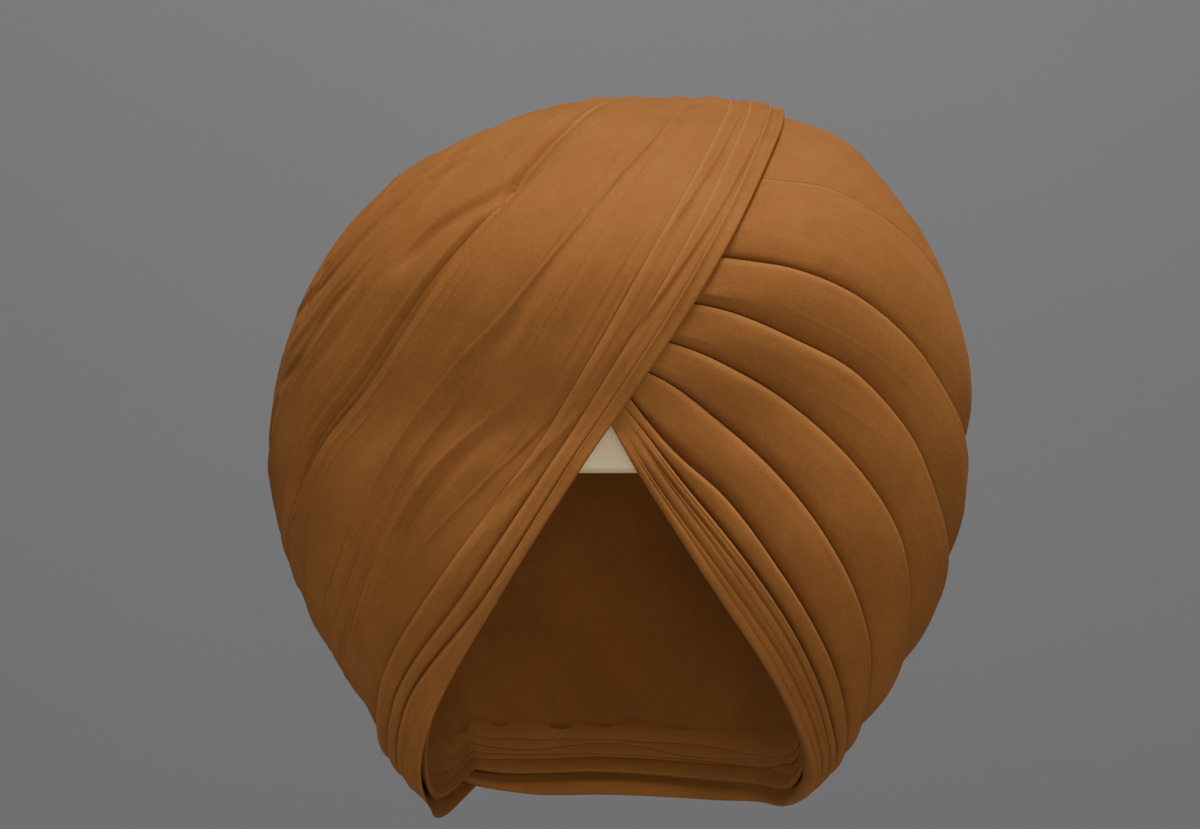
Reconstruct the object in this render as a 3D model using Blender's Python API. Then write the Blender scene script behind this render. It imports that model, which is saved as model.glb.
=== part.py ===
"""A tied turban (pagri) as the turns of cloth that it is wound from.

Metres, +Z up, the front at -Y and +X at the right as seen from the front. The origin is the
seat: the point on the head's upright axis that is level with the lower edge of the under band.

Every surface is a radius from the seat in some direction. The head's form comes first, the
wound wall lies on it, and the folds divide that wall along lines drawn over the head. Two
families of lines cross at the forehead: the wraps on the wearer's right (seen at the left)
are loops round one tilted axis, and the folds on the other side run from the forehead,
round the ear and down to the nape.
"""

import bpy
import numpy as np

# The head that it is wound on
HEAD_HALF_WIDTH = 0.078
HEAD_FRONT = 0.100
HEAD_BACK = 0.098
HEAD_TOP = 0.100
JAW_DEPTH = 0.205
NAPE_DEPTH = 0.165

# The wound wall over the head, at each side's reference thickness
WALL_RIGHT = 0.053
WALL_LEFT = 0.047
WALL_FRONT = 0.045
WALL_BACK = 0.052
WALL_CROWN = 0.0335

# How much of the wall the last wraps and the side folds take, and where they level off
COVER_MOST = 0.0070
COVER_HALF_WALL = 0.016
FOLD_MOST = 0.020
FOLD_HALF_WALL = 0.050

# Fold sections
DIP_MOST = 0.0075
DIP_HALF_WIDTH = 0.020
DIP_FROM = 0.3
EDGE_FOLD_DIP_SHARE = 0.5
CROWN_DIP_SHARE = 0.5
CROWN_DIP_FROM = 0.75
LIP_DROP = 0.0010
LIP_WIDTH = 0.004
LEAN_MOST = 0.005
LEAN_SHARE = 0.3
WRAP_LEAN_SHARE = 0.6
SHOULDER_DIP_RUN = 0.012
EDGE_DROP = 0.0012
EDGE_DROP_FROM = 0.5

# How the side folds go under the last wrap
TUCK = 0.010
DIVE_START = 0.013
DIVE_END = 0.003
RAMP_RUN = 0.026
RAMP_CLEARANCE = 0.0013
RIM_INSET = 0.0075

# The most that a section may drop, as a share of the piece's thickness
FOLD_DROP_LIMIT = 0.6
WRAP_DROP_LIMIT = 0.5
RAMP_CLEARANCE_LIMIT = 0.25

# Where the crown's own thickness takes over, in degrees of latitude
CROWN_FROM = 50
CROWN_RUN = 40

# The band under the turban
BAND_HEIGHT = 0.055
BAND_THICKNESS = 0.0015

# Clearance between neighbouring turns, and the looser one over the inner turns and the band
GAP = 0.0008
CORE_GAP = 0.0020

# The axis that the last wraps go round, tilted from the wearer's left to right in degrees
WRAP_AXIS_TILT = 28.7

# How far apart the crown fold's edges are at its two ends, in degrees
CROWN_CORNER = 4.0

# The opening's edge, in degrees of bearing for the wraps and of azimuth for the folds
OPENING_BEARINGS = (-8, 128)
OPENING_AZIMUTHS = (0, 235)
FOLD_SEARCH = (-9, 258)

# Thickness of the wall, as shares of each side's reference thickness
WALL_TABLE = (
    # latitude, right, left, front, back
    (-62, 0.13, 0.12, 0.00, 0.19),
    (-52, 0.42, 0.42, 0.02, 0.45),
    (-42, 0.60, 0.58, 0.06, 0.64),
    (-30, 0.79, 0.73, 0.12, 0.78),
    (-15, 0.93, 0.90, 0.22, 0.94),
    (0, 1.00, 1.00, 0.27, 1.00),
    (10, 1.06, 1.00, 0.35, 0.99),
    (20, 1.09, 1.00, 0.64, 0.94),
    (30, 1.10, 0.99, 0.95, 0.87),
    (45, 1.09, 0.93, 1.07, 0.81),
    (60, 1.08, 0.80, 1.04, 0.76),
    (75, 1.15, 0.54, 1.04, 0.72),
    (90, 1.15, 0.54, 1.04, 0.70),
)

# Latitude of each fold line of the far side, in degrees, by azimuth from the front
FOLD_TABLE = (
    # azimuth, thin edge, brow, temple, upper ear, ear, lower ear, inner, opening edge
    (-10, 45.6, 33.0, 29.5, 27.5, 26.3, 25.6, 25.0, 24.0),
    (-5, 45.5, 32.4, 28.2, 25.0, 23.0, 21.4, 19.9, 17.0),
    (0, 45.4, 32.0, 26.9, 22.2, 19.2, 16.4, 14.0, 8.5),
    (5, 45.2, 31.9, 26.3, 21.3, 17.0, 10.7, 8.4, -0.4),
    (10, 45.0, 31.7, 25.8, 20.3, 14.9, 4.9, 1.8, -8.1),
    (20, 44.8, 31.2, 24.4, 17.2, 8.4, -3.7, -9.8, -21.6),
    (32, 44.4, 30.1, 20.9, 11.6, -1.7, -17.0, -22.6, -33.7),
    (45, 43.2, 26.8, 15.8, 2.0, -15.3, -29.6, -34.8, -43.9),
    (57, 39.6, 21.2, 7.2, -9.3, -27.7, -39.2, -43.6, -50.7),
    (70, 34.0, 12.0, -5.8, -25.5, -39.8, -46.7, -50.0, -56.0),
    (90, 23.0, -2.0, -20.5, -38.5, -48.3, -53.6, -56.2, -61.0),
    (135, -2.0, -25.5, -36.5, -45.5, -51.3, -54.9, -57.2, -61.5),
    (180, -20.0, -37.5, -43.0, -47.2, -50.6, -53.3, -55.2, -58.8),
    (225, -27.0, -42.5, -46.5, -49.7, -52.3, -54.5, -56.2, -59.3),
    (260, -22.0, -36.0, -40.0, -43.0, -45.5, -47.8, -49.6, -53.0),
)
FOLD_NAMES = ("brow", "temple", "upper_ear", "ear", "lower_ear", "inner", "edge")

# Height of each wrap line over the plane across the tilted axis, in degrees, by bearing from
# the front towards the near ear, and how deep its grooves are as a share of their deepest
WRAP_TABLE = (
    # bearing, opening edge, first, second, third, shoulder, groove depth
    (-90, 3.2, 5.8, 8.6, 11.6, 23.5, 0.35),
    (-60, 1.8, 4.2, 7.0, 9.8, 26.3, 0.35),
    (-30, 1.2, 3.5, 6.4, 9.8, 33.0, 0.40),
    (0, 4.9, 7.1, 9.9, 13.6, 45.0, 0.60),
    (30, 6.7, 8.9, 12.3, 17.5, 53.3, 0.90),
    (60, 6.0, 11.4, 13.9, 17.8, 50.0, 1.00),
    (90, -1.6, 3.8, 6.6, 9.6, 44.0, 1.00),
    (120, -6.0, -1.5, 1.5, 4.8, 38.0, 0.80),
    (150, -4.0, 0.0, 3.2, 6.8, 36.0, 0.60),
    (180, 0.0, 3.4, 6.4, 9.9, 36.0, 0.50),
    (210, 2.0, 5.0, 7.9, 11.2, 32.0, 0.45),
    (240, 3.2, 6.0, 8.8, 11.8, 26.0, 0.40),
)
OPENING_EDGE, FIRST, SECOND, THIRD, SHOULDER, GROOVE = range(6)

CLOTH_COLOUR = (0.235, 0.098, 0.030, 1.0)
BAND_COLOUR = (0.58, 0.43, 0.25, 1.0)
CLOTH_ROUGHNESS = 0.85
BAND_ROUGHNESS = 0.9

# Stations along each piece, and where its points lie across it, as shares of its width
WRAP_STATIONS = 44
FOLD_STATIONS = 15
WIDE_FOLDS = 4
WIDE_SHARES = np.array([0, 0.08, 0.25, 0.45, 0.65, 0.83, 1.0])
NARROW_SHARES = np.array([0, 0.12, 0.4, 0.72, 1.0])
WRAP_SHARES = np.array([0, 0.05, 0.2, 0.36, 0.52, 0.68, 0.85, 1.0])
PLEAT_SHARES = np.array([0, 0.2, 0.6, 1.0])
SHOULDER_SHARES = np.array([0, 0.08, 0.26, 0.44, 0.62, 0.81])
CROWN_POINTS = 9
CORE_STATIONS = 44
CORE_ROWS = 11
CORE_ROW_POWER = 1.15
BAND_STATIONS = 32
BAND_ROWS = 3
SHARP_ANGLE = 42

WRAP_AXIS = np.array([-np.cos(np.radians(WRAP_AXIS_TILT)), 0.0, np.sin(np.radians(WRAP_AXIS_TILT))])
WRAP_FRONT = np.array([0.0, -1.0, 0.0])
WRAP_EAR = np.cross(WRAP_FRONT, WRAP_AXIS)


def unit(vectors):
    """Vectors scaled to length 1."""
    return vectors / np.linalg.norm(vectors, axis=-1, keepdims=True)


def ease(value):
    """Smooth step from 0 to 1, flat at both ends."""
    value = np.clip(value, 0.0, 1.0)
    return value * value * (3.0 - 2.0 * value)


def smooth_rows(at, rows, where):
    """Rows read at any place along their heading, through a smooth cubic curve."""
    at = np.asarray(at, float)
    rows = np.asarray(rows, float)
    slope = np.gradient(rows, at)
    where = np.clip(np.asarray(where, float), at[0], at[-1])
    index = np.clip(np.searchsorted(at, where, side="right") - 1, 0, len(at) - 2)
    step = at[index + 1] - at[index]
    t = (where - at[index]) / step
    start = (2 * t**3 - 3 * t**2 + 1) * rows[index] + (t**3 - 2 * t**2 + t) * step * slope[index]
    end = (3 * t**2 - 2 * t**3) * rows[index + 1] + (t**3 - t**2) * step * slope[index + 1]
    return start + end


def from_angles(azimuth, latitude):
    """Direction at an azimuth from the front towards +X and a latitude, in degrees."""
    a, b = np.radians(azimuth), np.radians(latitude)
    return np.stack([np.cos(b) * np.sin(a), -np.cos(b) * np.cos(a), np.sin(b)], axis=-1)


def side_share(d):
    """1 in directions straight to the side, 0 straight to the front or back."""
    return d[..., 0] ** 2 / (d[..., 0] ** 2 + d[..., 1] ** 2 + 1e-12)


def head_radius(d):
    """Radius of the hollow: an egg that narrows towards the jaw and the nape."""
    side = side_share(d)
    towards_back = np.where(d[..., 1] > 0, NAPE_DEPTH, JAW_DEPTH)
    below = 1 / np.sqrt(side / JAW_DEPTH**2 + (1 - side) / towards_back**2)
    length = np.where(d[..., 1] <= 0, HEAD_FRONT, HEAD_BACK)
    height = np.where(d[..., 2] >= 0, HEAD_TOP, below)
    axes = np.stack([np.full_like(length, HEAD_HALF_WIDTH), length, height], axis=-1)
    return 1 / np.linalg.norm(d / axes, axis=-1)


def wall_thickness(d):
    """Thickness of all the turns together, blended between the four sides and the crown."""
    latitude = np.degrees(np.arcsin(np.clip(d[..., 2], -1, 1)))
    rows = np.array(WALL_TABLE)
    right, left, front, back = (smooth_rows(rows[:, 0], rows[:, k], latitude) for k in (1, 2, 3, 4))
    across = np.where(d[..., 0] >= 0, right * WALL_RIGHT, left * WALL_LEFT)
    along = np.where(d[..., 1] <= 0, front * WALL_FRONT, back * WALL_BACK)
    side = side_share(d)
    round_wall = side * across + (1 - side) * along
    crown = ease((latitude - CROWN_FROM) / CROWN_RUN)
    return round_wall * (1 - crown) + WALL_CROWN * crown


def outer_radius(d):
    """Radius of the turban's outline."""
    return head_radius(d) + wall_thickness(d)


def cover_thickness(d):
    """Thickness of the last wraps, which lie on everything else."""
    free = wall_thickness(d) - GAP - CORE_GAP
    return COVER_MOST * free / (free + COVER_HALF_WALL)


def fold_thickness(d):
    """Thickness of the side folds below the level of the last wraps."""
    free = wall_thickness(d) - GAP - CORE_GAP
    return FOLD_MOST * free / (free + FOLD_HALF_WALL)


def around(line, bearing):
    """A column of the wrap table at any bearing round the tilted axis."""
    rows = np.array(WRAP_TABLE)
    bearings = np.concatenate([rows[:, 0] - 360, rows[:, 0], rows[:, 0] + 360])
    return smooth_rows(bearings, np.tile(rows[:, line + 1], 3), bearing)


def wrap_bearing(d):
    """Bearing round the tilted axis, in degrees."""
    return np.degrees(np.arctan2(d @ WRAP_EAR, d @ WRAP_FRONT))


def wrap_height(d):
    """Height over the plane across the tilted axis, in degrees."""
    return np.degrees(np.arcsin(np.clip(d @ WRAP_AXIS, -1, 1)))


def from_wrap(bearing, height):
    """Direction at a bearing and height of the tilted axis."""
    a, b = np.radians(bearing), np.radians(height)
    level = np.cos(a)[..., None] * WRAP_FRONT + np.sin(a)[..., None] * WRAP_EAR
    return np.cos(b)[..., None] * level + np.sin(b)[..., None] * WRAP_AXIS


def past_edge(d):
    """Distance of a direction inside the last wraps' edge, in metres, negative outside it."""
    edge = around(OPENING_EDGE, wrap_bearing(d))
    return np.radians(wrap_height(d) - edge) * outer_radius(d)


def core_radius(d):
    """Outer radius of the inner turns, raised under the last wraps."""
    ramp = np.clip((past_edge(d) + DIVE_START) / (DIVE_START + RAMP_RUN), 0, 1)
    return outer_radius(d) - cover_thickness(d) - CORE_GAP - fold_thickness(d) * (1 - ramp)


def fold_line(column, azimuth):
    """Latitude of one fold line of the far side."""
    rows = np.array(FOLD_TABLE)
    return smooth_rows(rows[:, 0], rows[:, column + 1], azimuth)


def arc_width(a, b):
    """Distance over the outline between two directions."""
    angle = np.arccos(np.clip(np.sum(a * b, axis=-1), -1, 1))
    return angle * outer_radius(unit(a + b))


def spread(a, b, shares):
    """Directions between each pair of rows, at the given shares of the way."""
    shares = np.broadcast_to(shares, (len(a), np.shape(shares)[-1]))[..., None]
    return unit(a[:, None] * (1 - shares) + b[:, None] * shares)


def turned(d, towards, distance):
    """Directions moved over the surface by a distance."""
    return unit(d + towards * (distance / outer_radius(d))[:, None])


def fold_section(share, width, groove=1.0):
    """Drop below the outline across a fold: a lit lip, a full back, then under the next lip."""
    lip = LIP_DROP * (1 - ease(share * width / LIP_WIDTH))
    dip = DIP_MOST * width / (width + DIP_HALF_WIDTH) * groove
    return lip + dip * np.clip((share - DIP_FROM) / (1 - DIP_FROM), 0, 1) ** 2


class Body:
    """Vertices and triangles of one closed piece."""

    def __init__(self):
        self.points = []
        self.faces = []

    def add(self, points):
        """Adds an array of points and returns their indices in the same shape."""
        points = np.asarray(points)
        first = sum(len(block) for block in self.points)
        self.points.append(points.reshape(-1, 3))
        return first + np.arange(points.reshape(-1, 3).shape[0]).reshape(points.shape[:-1])

    def skin(self, grid):
        """Two triangles for each cell of a grid of indices."""
        a, b, c, d = grid[:-1, :-1], grid[:-1, 1:], grid[1:, 1:], grid[1:, :-1]
        self.faces.append(np.stack([a, b, c], axis=-1).reshape(-1, 3))
        self.faces.append(np.stack([a, c, d], axis=-1).reshape(-1, 3))

    def fan(self, ring, centre):
        """Triangles from a ring of indices to one point."""
        self.faces.append(np.stack([ring, np.roll(ring, -1), np.full_like(ring, centre)], axis=-1))

    def make(self, name, collection, material):
        """Makes the object, with its faces turned outwards."""
        points = np.concatenate(self.points)
        faces = np.concatenate(self.faces)
        corner = points[faces]
        if np.linalg.det(corner).sum() < 0:
            faces = faces[:, ::-1]
        mesh = bpy.data.meshes.new(name)
        mesh.from_pydata(points.tolist(), [], faces.tolist())
        mesh.shade_smooth()
        mesh.set_sharp_from_angle(angle=np.radians(SHARP_ANGLE))
        mesh.materials.append(material)
        piece = bpy.data.objects.new(name, mesh)
        collection.objects.link(piece)
        return piece


def closed(grid):
    """A grid of indices with its first row repeated at the end."""
    return np.concatenate([grid, grid[:1]])


def loft(outer, inner, looped):
    """A piece between an outer and an inner sheet of points, station by station."""
    body = Body()
    top = body.add(outer)
    bottom = body.add(inner)
    ring = np.concatenate([top, bottom[:, ::-1], top[:, :1]], axis=1)
    body.skin(closed(ring) if looped else ring)
    if not looped:
        body.skin(np.stack([bottom[0], top[0]]))
        body.skin(np.stack([top[-1], bottom[-1]]))
    return body


def lean_at(widths_above, widths_below):
    """How far a turn reaches below the lip of the next one."""
    return np.minimum(LEAN_MOST, LEAN_SHARE * np.minimum(widths_above, widths_below))


def crossings(column, distances):
    """Azimuths where a fold line is at the given distances past the last wraps' edge."""
    azimuth = np.linspace(*FOLD_SEARCH, 535)
    past = past_edge(from_angles(azimuth, fold_line(column, azimuth)))
    lowest = int(np.argmin(past))
    begins = lowest - int(np.argmax(past[lowest::-1] > TUCK))
    ends = lowest + int(np.argmax(past[lowest:] > TUCK))
    front = np.interp(distances, past[begins : lowest + 1][::-1], azimuth[begins : lowest + 1][::-1])
    back = np.interp(distances, past[lowest : ends + 1], azimuth[lowest : ends + 1])
    return front, back[::-1]


def fold_stations(column):
    """Azimuths of a fold line's stations: close together where it goes under the last wrap."""
    distances = np.array([TUCK, TUCK / 3, -DIVE_END, -(DIVE_END + DIVE_START) / 2, -DIVE_START])
    front, back = crossings(column, distances)
    return np.concatenate([front, np.linspace(front[-1], back[0], FOLD_STATIONS + 2)[1:-1], back])


def side_drop(d, drop):
    """Outer radius of a side fold, which goes down to lie below the last wrap at its ends."""
    limit = FOLD_DROP_LIMIT * (cover_thickness(d) + fold_thickness(d))
    free = outer_radius(d) - np.minimum(drop, limit)
    below = outer_radius(d) - cover_thickness(d) - GAP
    dive = ease((past_edge(d) + DIVE_START) / (DIVE_START - DIVE_END))
    return free * (1 - dive) + below * dive


def side_seat(d):
    """Inner radius of a side fold, over the inner turns."""
    over_ramp = RAMP_CLEARANCE * np.exp(-(((past_edge(d) + DIVE_START) / DIVE_START) ** 2))
    return core_radius(d) + CORE_GAP + np.minimum(over_ramp, RAMP_CLEARANCE_LIMIT * fold_thickness(d))


def fold_lines():
    """Directions of every fold line's stations and the way down from each."""
    lines, downs = [], []
    for column in range(len(FOLD_NAMES) + 1):
        azimuth = fold_stations(column)
        line = from_angles(azimuth, fold_line(column, azimuth))
        lines.append(line)
        downs.append(unit(np.cross(np.gradient(line, axis=0), line)))
    return lines, downs


def side_folds(lines, downs):
    """The folds between each pair of fold lines, the lower ones lapping over the upper."""
    widths = [arc_width(a, b) for a, b in zip(lines, lines[1:])]
    leans = [lean_at(widths[0], widths[0])]
    leans += [lean_at(above, below) for above, below in zip(widths, widths[1:])]
    leans.append(np.zeros_like(widths[0]))
    bodies = {}
    for k, name in enumerate(FOLD_NAMES):
        inner_edge = name == FOLD_NAMES[-1]
        shares = WIDE_SHARES if k < WIDE_FOLDS else NARROW_SHARES
        upper, lower = lines[k], lines[k + 1]
        start = turned(upper, downs[k], GAP)
        outer = spread(start, lower, shares)
        drop = fold_section(shares, widths[k][:, None], EDGE_FOLD_DIP_SHARE if inner_edge else 1.0)
        tucked = turned(upper, downs[k], leans[k] + GAP)
        reach = turned(lower, downs[k + 1], leans[k + 1])
        inner = spread(tucked, reach, shares)
        body = loft(
            outer * side_drop(outer, drop)[..., None],
            inner * side_seat(inner)[..., None],
            looped=False,
        )
        bodies[name + "_fold"] = body
    return bodies, leans[0]


def crown_fold(line, down, lean):
    """The wide turn over the far side of the crown, from below the last wrap to the first line."""
    ends = wrap_bearing(line[[0, -1]])
    bearing = np.linspace(ends[0], ends[1] - 360, len(line))
    corner = np.radians(CROWN_CORNER)
    height = around(OPENING_EDGE, bearing) + np.degrees(TUCK / outer_radius(line[0]))
    top = from_wrap(bearing, height)
    clear = unit(np.cross(line, np.gradient(line, axis=0)))
    top[[0, -1]] = unit(line[[0, -1]] + np.tan(corner) * clear[[0, -1]])
    width = arc_width(top, line)[:, None]
    middle = (DIVE_START + DIVE_END) / 2
    near = np.array([0, TUCK * 0.6, TUCK + DIVE_END, TUCK + middle, TUCK + DIVE_START])
    even = np.linspace(0, 1, CROWN_POINTS)
    near_shares = np.minimum(near / width, even[: len(near)])
    onward = np.linspace(0, 1, CROWN_POINTS - len(near) + 1)[1:]
    rest = near_shares[:, -1:] + (1 - near_shares[:, -1:]) * onward
    shares = np.concatenate([near_shares, rest], axis=1)
    outer = spread(top, line, shares)
    fall = np.clip((shares - CROWN_DIP_FROM) / (1 - CROWN_DIP_FROM), 0, 1) ** 2
    dip = DIP_MOST * CROWN_DIP_SHARE * fall
    inner = spread(top, turned(line, down, lean), shares)
    return loft(outer * side_drop(outer, dip)[..., None], inner * side_seat(inner)[..., None], looped=False)


def wrap_line(line):
    """Directions of a wrap line's stations and the way from each towards the opening."""
    bearing = np.arange(WRAP_STATIONS) * 360 / WRAP_STATIONS
    d = from_wrap(bearing, around(line, bearing))
    away = -WRAP_AXIS + (d @ WRAP_AXIS)[:, None] * d
    return d, unit(away)


def wrap_outer(d, drop):
    """Outer radius of a last wrap, which keeps enough of its thickness."""
    limit = WRAP_DROP_LIMIT * cover_thickness(d)
    return outer_radius(d) - np.minimum(drop, limit)


def wrap_seat(d):
    """Inner radius of the last wraps."""
    return outer_radius(d) - cover_thickness(d) + GAP / 2


def wrap_band(far, near, shares, lean_far, lean_near):
    """One wrap between two wrap lines, the one nearer the opening lapping over the other."""
    (a, a_away), (b, b_away) = wrap_line(far), wrap_line(near)
    width = arc_width(a, b)[:, None]
    bearing = wrap_bearing(b)[:, None]
    outer = spread(turned(a, a_away, GAP), b, shares)
    if near == OPENING_EDGE:
        roll = ease((shares - EDGE_DROP_FROM) / (1 - EDGE_DROP_FROM))
        drop = EDGE_DROP * roll + fold_section(shares * DIP_FROM, width)
    else:
        drop = fold_section(shares, width, around(GROOVE, bearing))
    inner = spread(turned(a, a_away, lean_far + GAP), turned(b, b_away, lean_near), shares)
    return loft(outer * wrap_outer(outer, drop)[..., None], inner * wrap_seat(inner)[..., None], looped=True)


def last_wraps():
    """The last wrap, and the three pleats that it ends in beside the opening."""
    order = (SHOULDER, THIRD, SECOND, FIRST, OPENING_EDGE)
    lines = [wrap_line(line)[0] for line in order]
    widths = [arc_width(a, b) for a, b in zip(lines, lines[1:])]
    leans = [np.full(WRAP_STATIONS, LEAN_MOST * WRAP_LEAN_SHARE)]
    leans += [WRAP_LEAN_SHARE * lean_at(above, below) for above, below in zip(widths, widths[1:])]
    leans.append(np.zeros(WRAP_STATIONS))
    names = ("last_wrap", "outer_pleat", "middle_pleat", "edge_pleat")
    bodies = {}
    for k, name in enumerate(names):
        shares = WRAP_SHARES if name == "last_wrap" else PLEAT_SHARES
        bodies[name] = wrap_band(order[k], order[k + 1], shares, leans[k], leans[k + 1])
    return bodies, leans[0]


def shoulder_turn(lean):
    """The turn over the near side, from the axis to below the last wrap's upper edge."""
    rim, away = wrap_line(SHOULDER)
    axis = np.tile(WRAP_AXIS, (WRAP_STATIONS, 1))
    outer = spread(rim, axis, SHOULDER_SHARES)
    groove = around(GROOVE, wrap_bearing(rim))[:, None]
    from_rim = SHOULDER_SHARES * arc_width(rim, axis)[:, None]
    dip = DIP_MOST * groove * (1 - ease(from_rim / SHOULDER_DIP_RUN))
    inner = spread(turned(rim, away, lean), axis, SHOULDER_SHARES)
    body = Body()
    top = body.add(outer * wrap_outer(outer, dip)[..., None])
    bottom = body.add(inner * wrap_seat(inner)[..., None])
    ring = np.concatenate([top[:, ::-1], bottom], axis=1)
    body.skin(closed(ring))
    peak = body.add(WRAP_AXIS * wrap_outer(WRAP_AXIS[None], 0.0)[0])
    root = body.add(WRAP_AXIS * wrap_seat(WRAP_AXIS[None])[0])
    body.fan(top[:, -1], peak)
    body.fan(bottom[::-1, -1], root)
    return body


def rim_latitude(azimuth):
    """Latitude of the turban's lower rim: the wraps' edge at one side, the folds' at the other."""
    bearing = np.linspace(*OPENING_BEARINGS, 137)
    edge = from_wrap(bearing, around(OPENING_EDGE, bearing))
    edge_azimuth = np.degrees(np.arctan2(edge[:, 0], -edge[:, 1]))
    order = np.argsort(edge_azimuth)
    edge_latitude = np.degrees(np.arcsin(edge[:, 2]))
    near = np.interp(azimuth, edge_azimuth[order], edge_latitude[order], left=90, right=90)
    unwound = np.where(azimuth < -90, azimuth + 360, azimuth)
    last = len(FOLD_NAMES)
    first, end = OPENING_AZIMUTHS
    far = np.where((unwound >= first) & (unwound <= end), fold_line(last, unwound), 90)
    return np.minimum(near, far)


def inner_turns():
    """The turns below the ones that show, from the hollow for the head to the folds' seats."""
    azimuth = -180 + np.arange(CORE_STATIONS) * 360 / CORE_STATIONS
    edge = rim_latitude(azimuth)
    start = edge + np.degrees(RIM_INSET / outer_radius(from_angles(azimuth, edge)))
    rows = np.linspace(0, 1, CORE_ROWS + 1)[:-1] ** CORE_ROW_POWER
    latitude = start[:, None] + (90 - start[:, None]) * rows
    d = from_angles(azimuth[:, None], latitude)
    body = Body()
    top = body.add(d * core_radius(d)[..., None])
    bottom = body.add(d * head_radius(d)[..., None])
    body.skin(closed(np.concatenate([top[:, ::-1], bottom], axis=1)))
    up = np.array([[0.0, 0.0, 1.0]])
    peak = body.add(up[0] * core_radius(up)[0])
    root = body.add(up[0] * head_radius(up)[0])
    body.fan(top[:, -1], peak)
    body.fan(bottom[::-1, -1], root)
    return body


def under_band():
    """The band below the turban, round the head above the seat."""
    azimuth = np.arange(BAND_STATIONS) * 360 / BAND_STATIONS
    flat = from_angles(azimuth, np.zeros_like(azimuth))
    level = head_radius(flat)[:, None]
    height = np.linspace(0, BAND_HEIGHT, BAND_ROWS)
    reach = level * np.sqrt(1 - (height / HEAD_TOP) ** 2)
    up = np.broadcast_to(height[:, None] * np.array([0, 0, 1.0]), (BAND_STATIONS, BAND_ROWS, 3))
    outer = flat[:, None] * (reach - CORE_GAP)[..., None] + up
    inner = flat[:, None] * (reach - CORE_GAP - BAND_THICKNESS)[..., None] + up
    return loft(outer, inner, looped=True)


def plain_material(name, colour, roughness):
    """A Principled material of one colour."""
    material = bpy.data.materials.new(name)
    material.use_nodes = True
    shader = material.node_tree.nodes["Principled BSDF"]
    shader.inputs["Base Color"].default_value = colour
    shader.inputs["Roughness"].default_value = roughness
    shader.inputs["Metallic"].default_value = 0.0
    return material


def pieces():
    """Every piece of the turban by name, from the inside out."""
    lines, downs = fold_lines()
    folds, lean = side_folds(lines, downs)
    wraps, shoulder_lean = last_wraps()
    made = {"under_band": under_band(), "inner_turns": inner_turns()}
    made["crown_fold"] = crown_fold(lines[0], downs[0], lean)
    made.update(folds)
    made["shoulder_turn"] = shoulder_turn(shoulder_lean)
    made.update(wraps)
    return made


def main():
    """Clears the scene and builds the turban."""
    for item in list(bpy.data.objects):
        bpy.data.objects.remove(item)
    collection = bpy.data.collections.new("tied_turban")
    bpy.context.scene.collection.children.link(collection)
    for name, body in pieces().items():
        band = name == "under_band"
        colour = BAND_COLOUR if band else CLOTH_COLOUR
        roughness = BAND_ROUGHNESS if band else CLOTH_ROUGHNESS
        body.make(name, collection, plain_material(name + "_cloth", colour, roughness))


if __name__ == "__main__":
    main()
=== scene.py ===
"""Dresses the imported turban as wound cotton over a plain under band, in a soft studio.

Metres, +Z up, the front at -Y and +X at the right as seen from the front. As in the part, every
surface is a radius from the seat in some direction. The turns repeat the part's formulas on fine
grids, with rounded lips, creases along the wraps and soft folds that run with the cloth.
"""

import logging
from dataclasses import dataclass, field, replace
from enum import Enum
from typing import Any, Optional

import bpy
import numpy as np
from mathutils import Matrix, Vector

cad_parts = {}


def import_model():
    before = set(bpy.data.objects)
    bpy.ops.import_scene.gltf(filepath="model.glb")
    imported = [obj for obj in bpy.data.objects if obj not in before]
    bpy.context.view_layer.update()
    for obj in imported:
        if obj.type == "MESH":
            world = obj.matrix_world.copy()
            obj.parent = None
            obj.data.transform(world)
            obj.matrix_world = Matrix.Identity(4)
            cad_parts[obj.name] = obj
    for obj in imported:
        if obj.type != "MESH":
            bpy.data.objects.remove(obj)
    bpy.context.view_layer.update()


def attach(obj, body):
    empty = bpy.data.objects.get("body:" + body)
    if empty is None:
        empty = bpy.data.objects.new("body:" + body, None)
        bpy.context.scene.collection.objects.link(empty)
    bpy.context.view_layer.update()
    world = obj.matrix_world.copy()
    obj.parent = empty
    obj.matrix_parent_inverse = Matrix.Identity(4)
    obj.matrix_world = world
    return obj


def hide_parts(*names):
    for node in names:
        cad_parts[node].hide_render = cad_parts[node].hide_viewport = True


Array = np.ndarray
LOG = logging.getLogger("turban")

BODY = "root"
LATTICE = 97


# Plain helpers on arrays


def unit(vectors: Array) -> Array:
    """Scales vectors to length 1."""
    return vectors / np.linalg.norm(vectors, axis=-1, keepdims=True)


def ease(value: Array) -> Array:
    """Steps smoothly from 0 to 1, flat at both ends: 3t^2 - 2t^3."""
    value = np.clip(value, 0.0, 1.0)
    return value * value * (3.0 - 2.0 * value)


def smooth_rows(at: Array, rows: Array, where: Array) -> Array:
    """Reads rows at any place along their heading, through a cubic with the rows' own slopes.

    Args:
        at: The rows' headings, rising.
        rows: One value, or one vector, for each heading.
        where: The places to read at. Past the ends the end row is read.

    Returns:
        The values at those places.
    """
    at = np.asarray(at, float)
    rows = np.asarray(rows, float)
    slope = np.gradient(rows, at, axis=0)
    where = np.clip(np.asarray(where, float), at[0], at[-1])
    index = np.clip(np.searchsorted(at, where, side="right") - 1, 0, len(at) - 2)
    step = at[index + 1] - at[index]
    t = (where - at[index]) / step
    start = (2 * t**3 - 3 * t**2 + 1) * rows[index] + (t**3 - 2 * t**2 + t) * step * slope[index]
    end = (3 * t**2 - 2 * t**3) * rows[index + 1] + (t**3 - t**2) * step * slope[index + 1]
    return start + end


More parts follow.
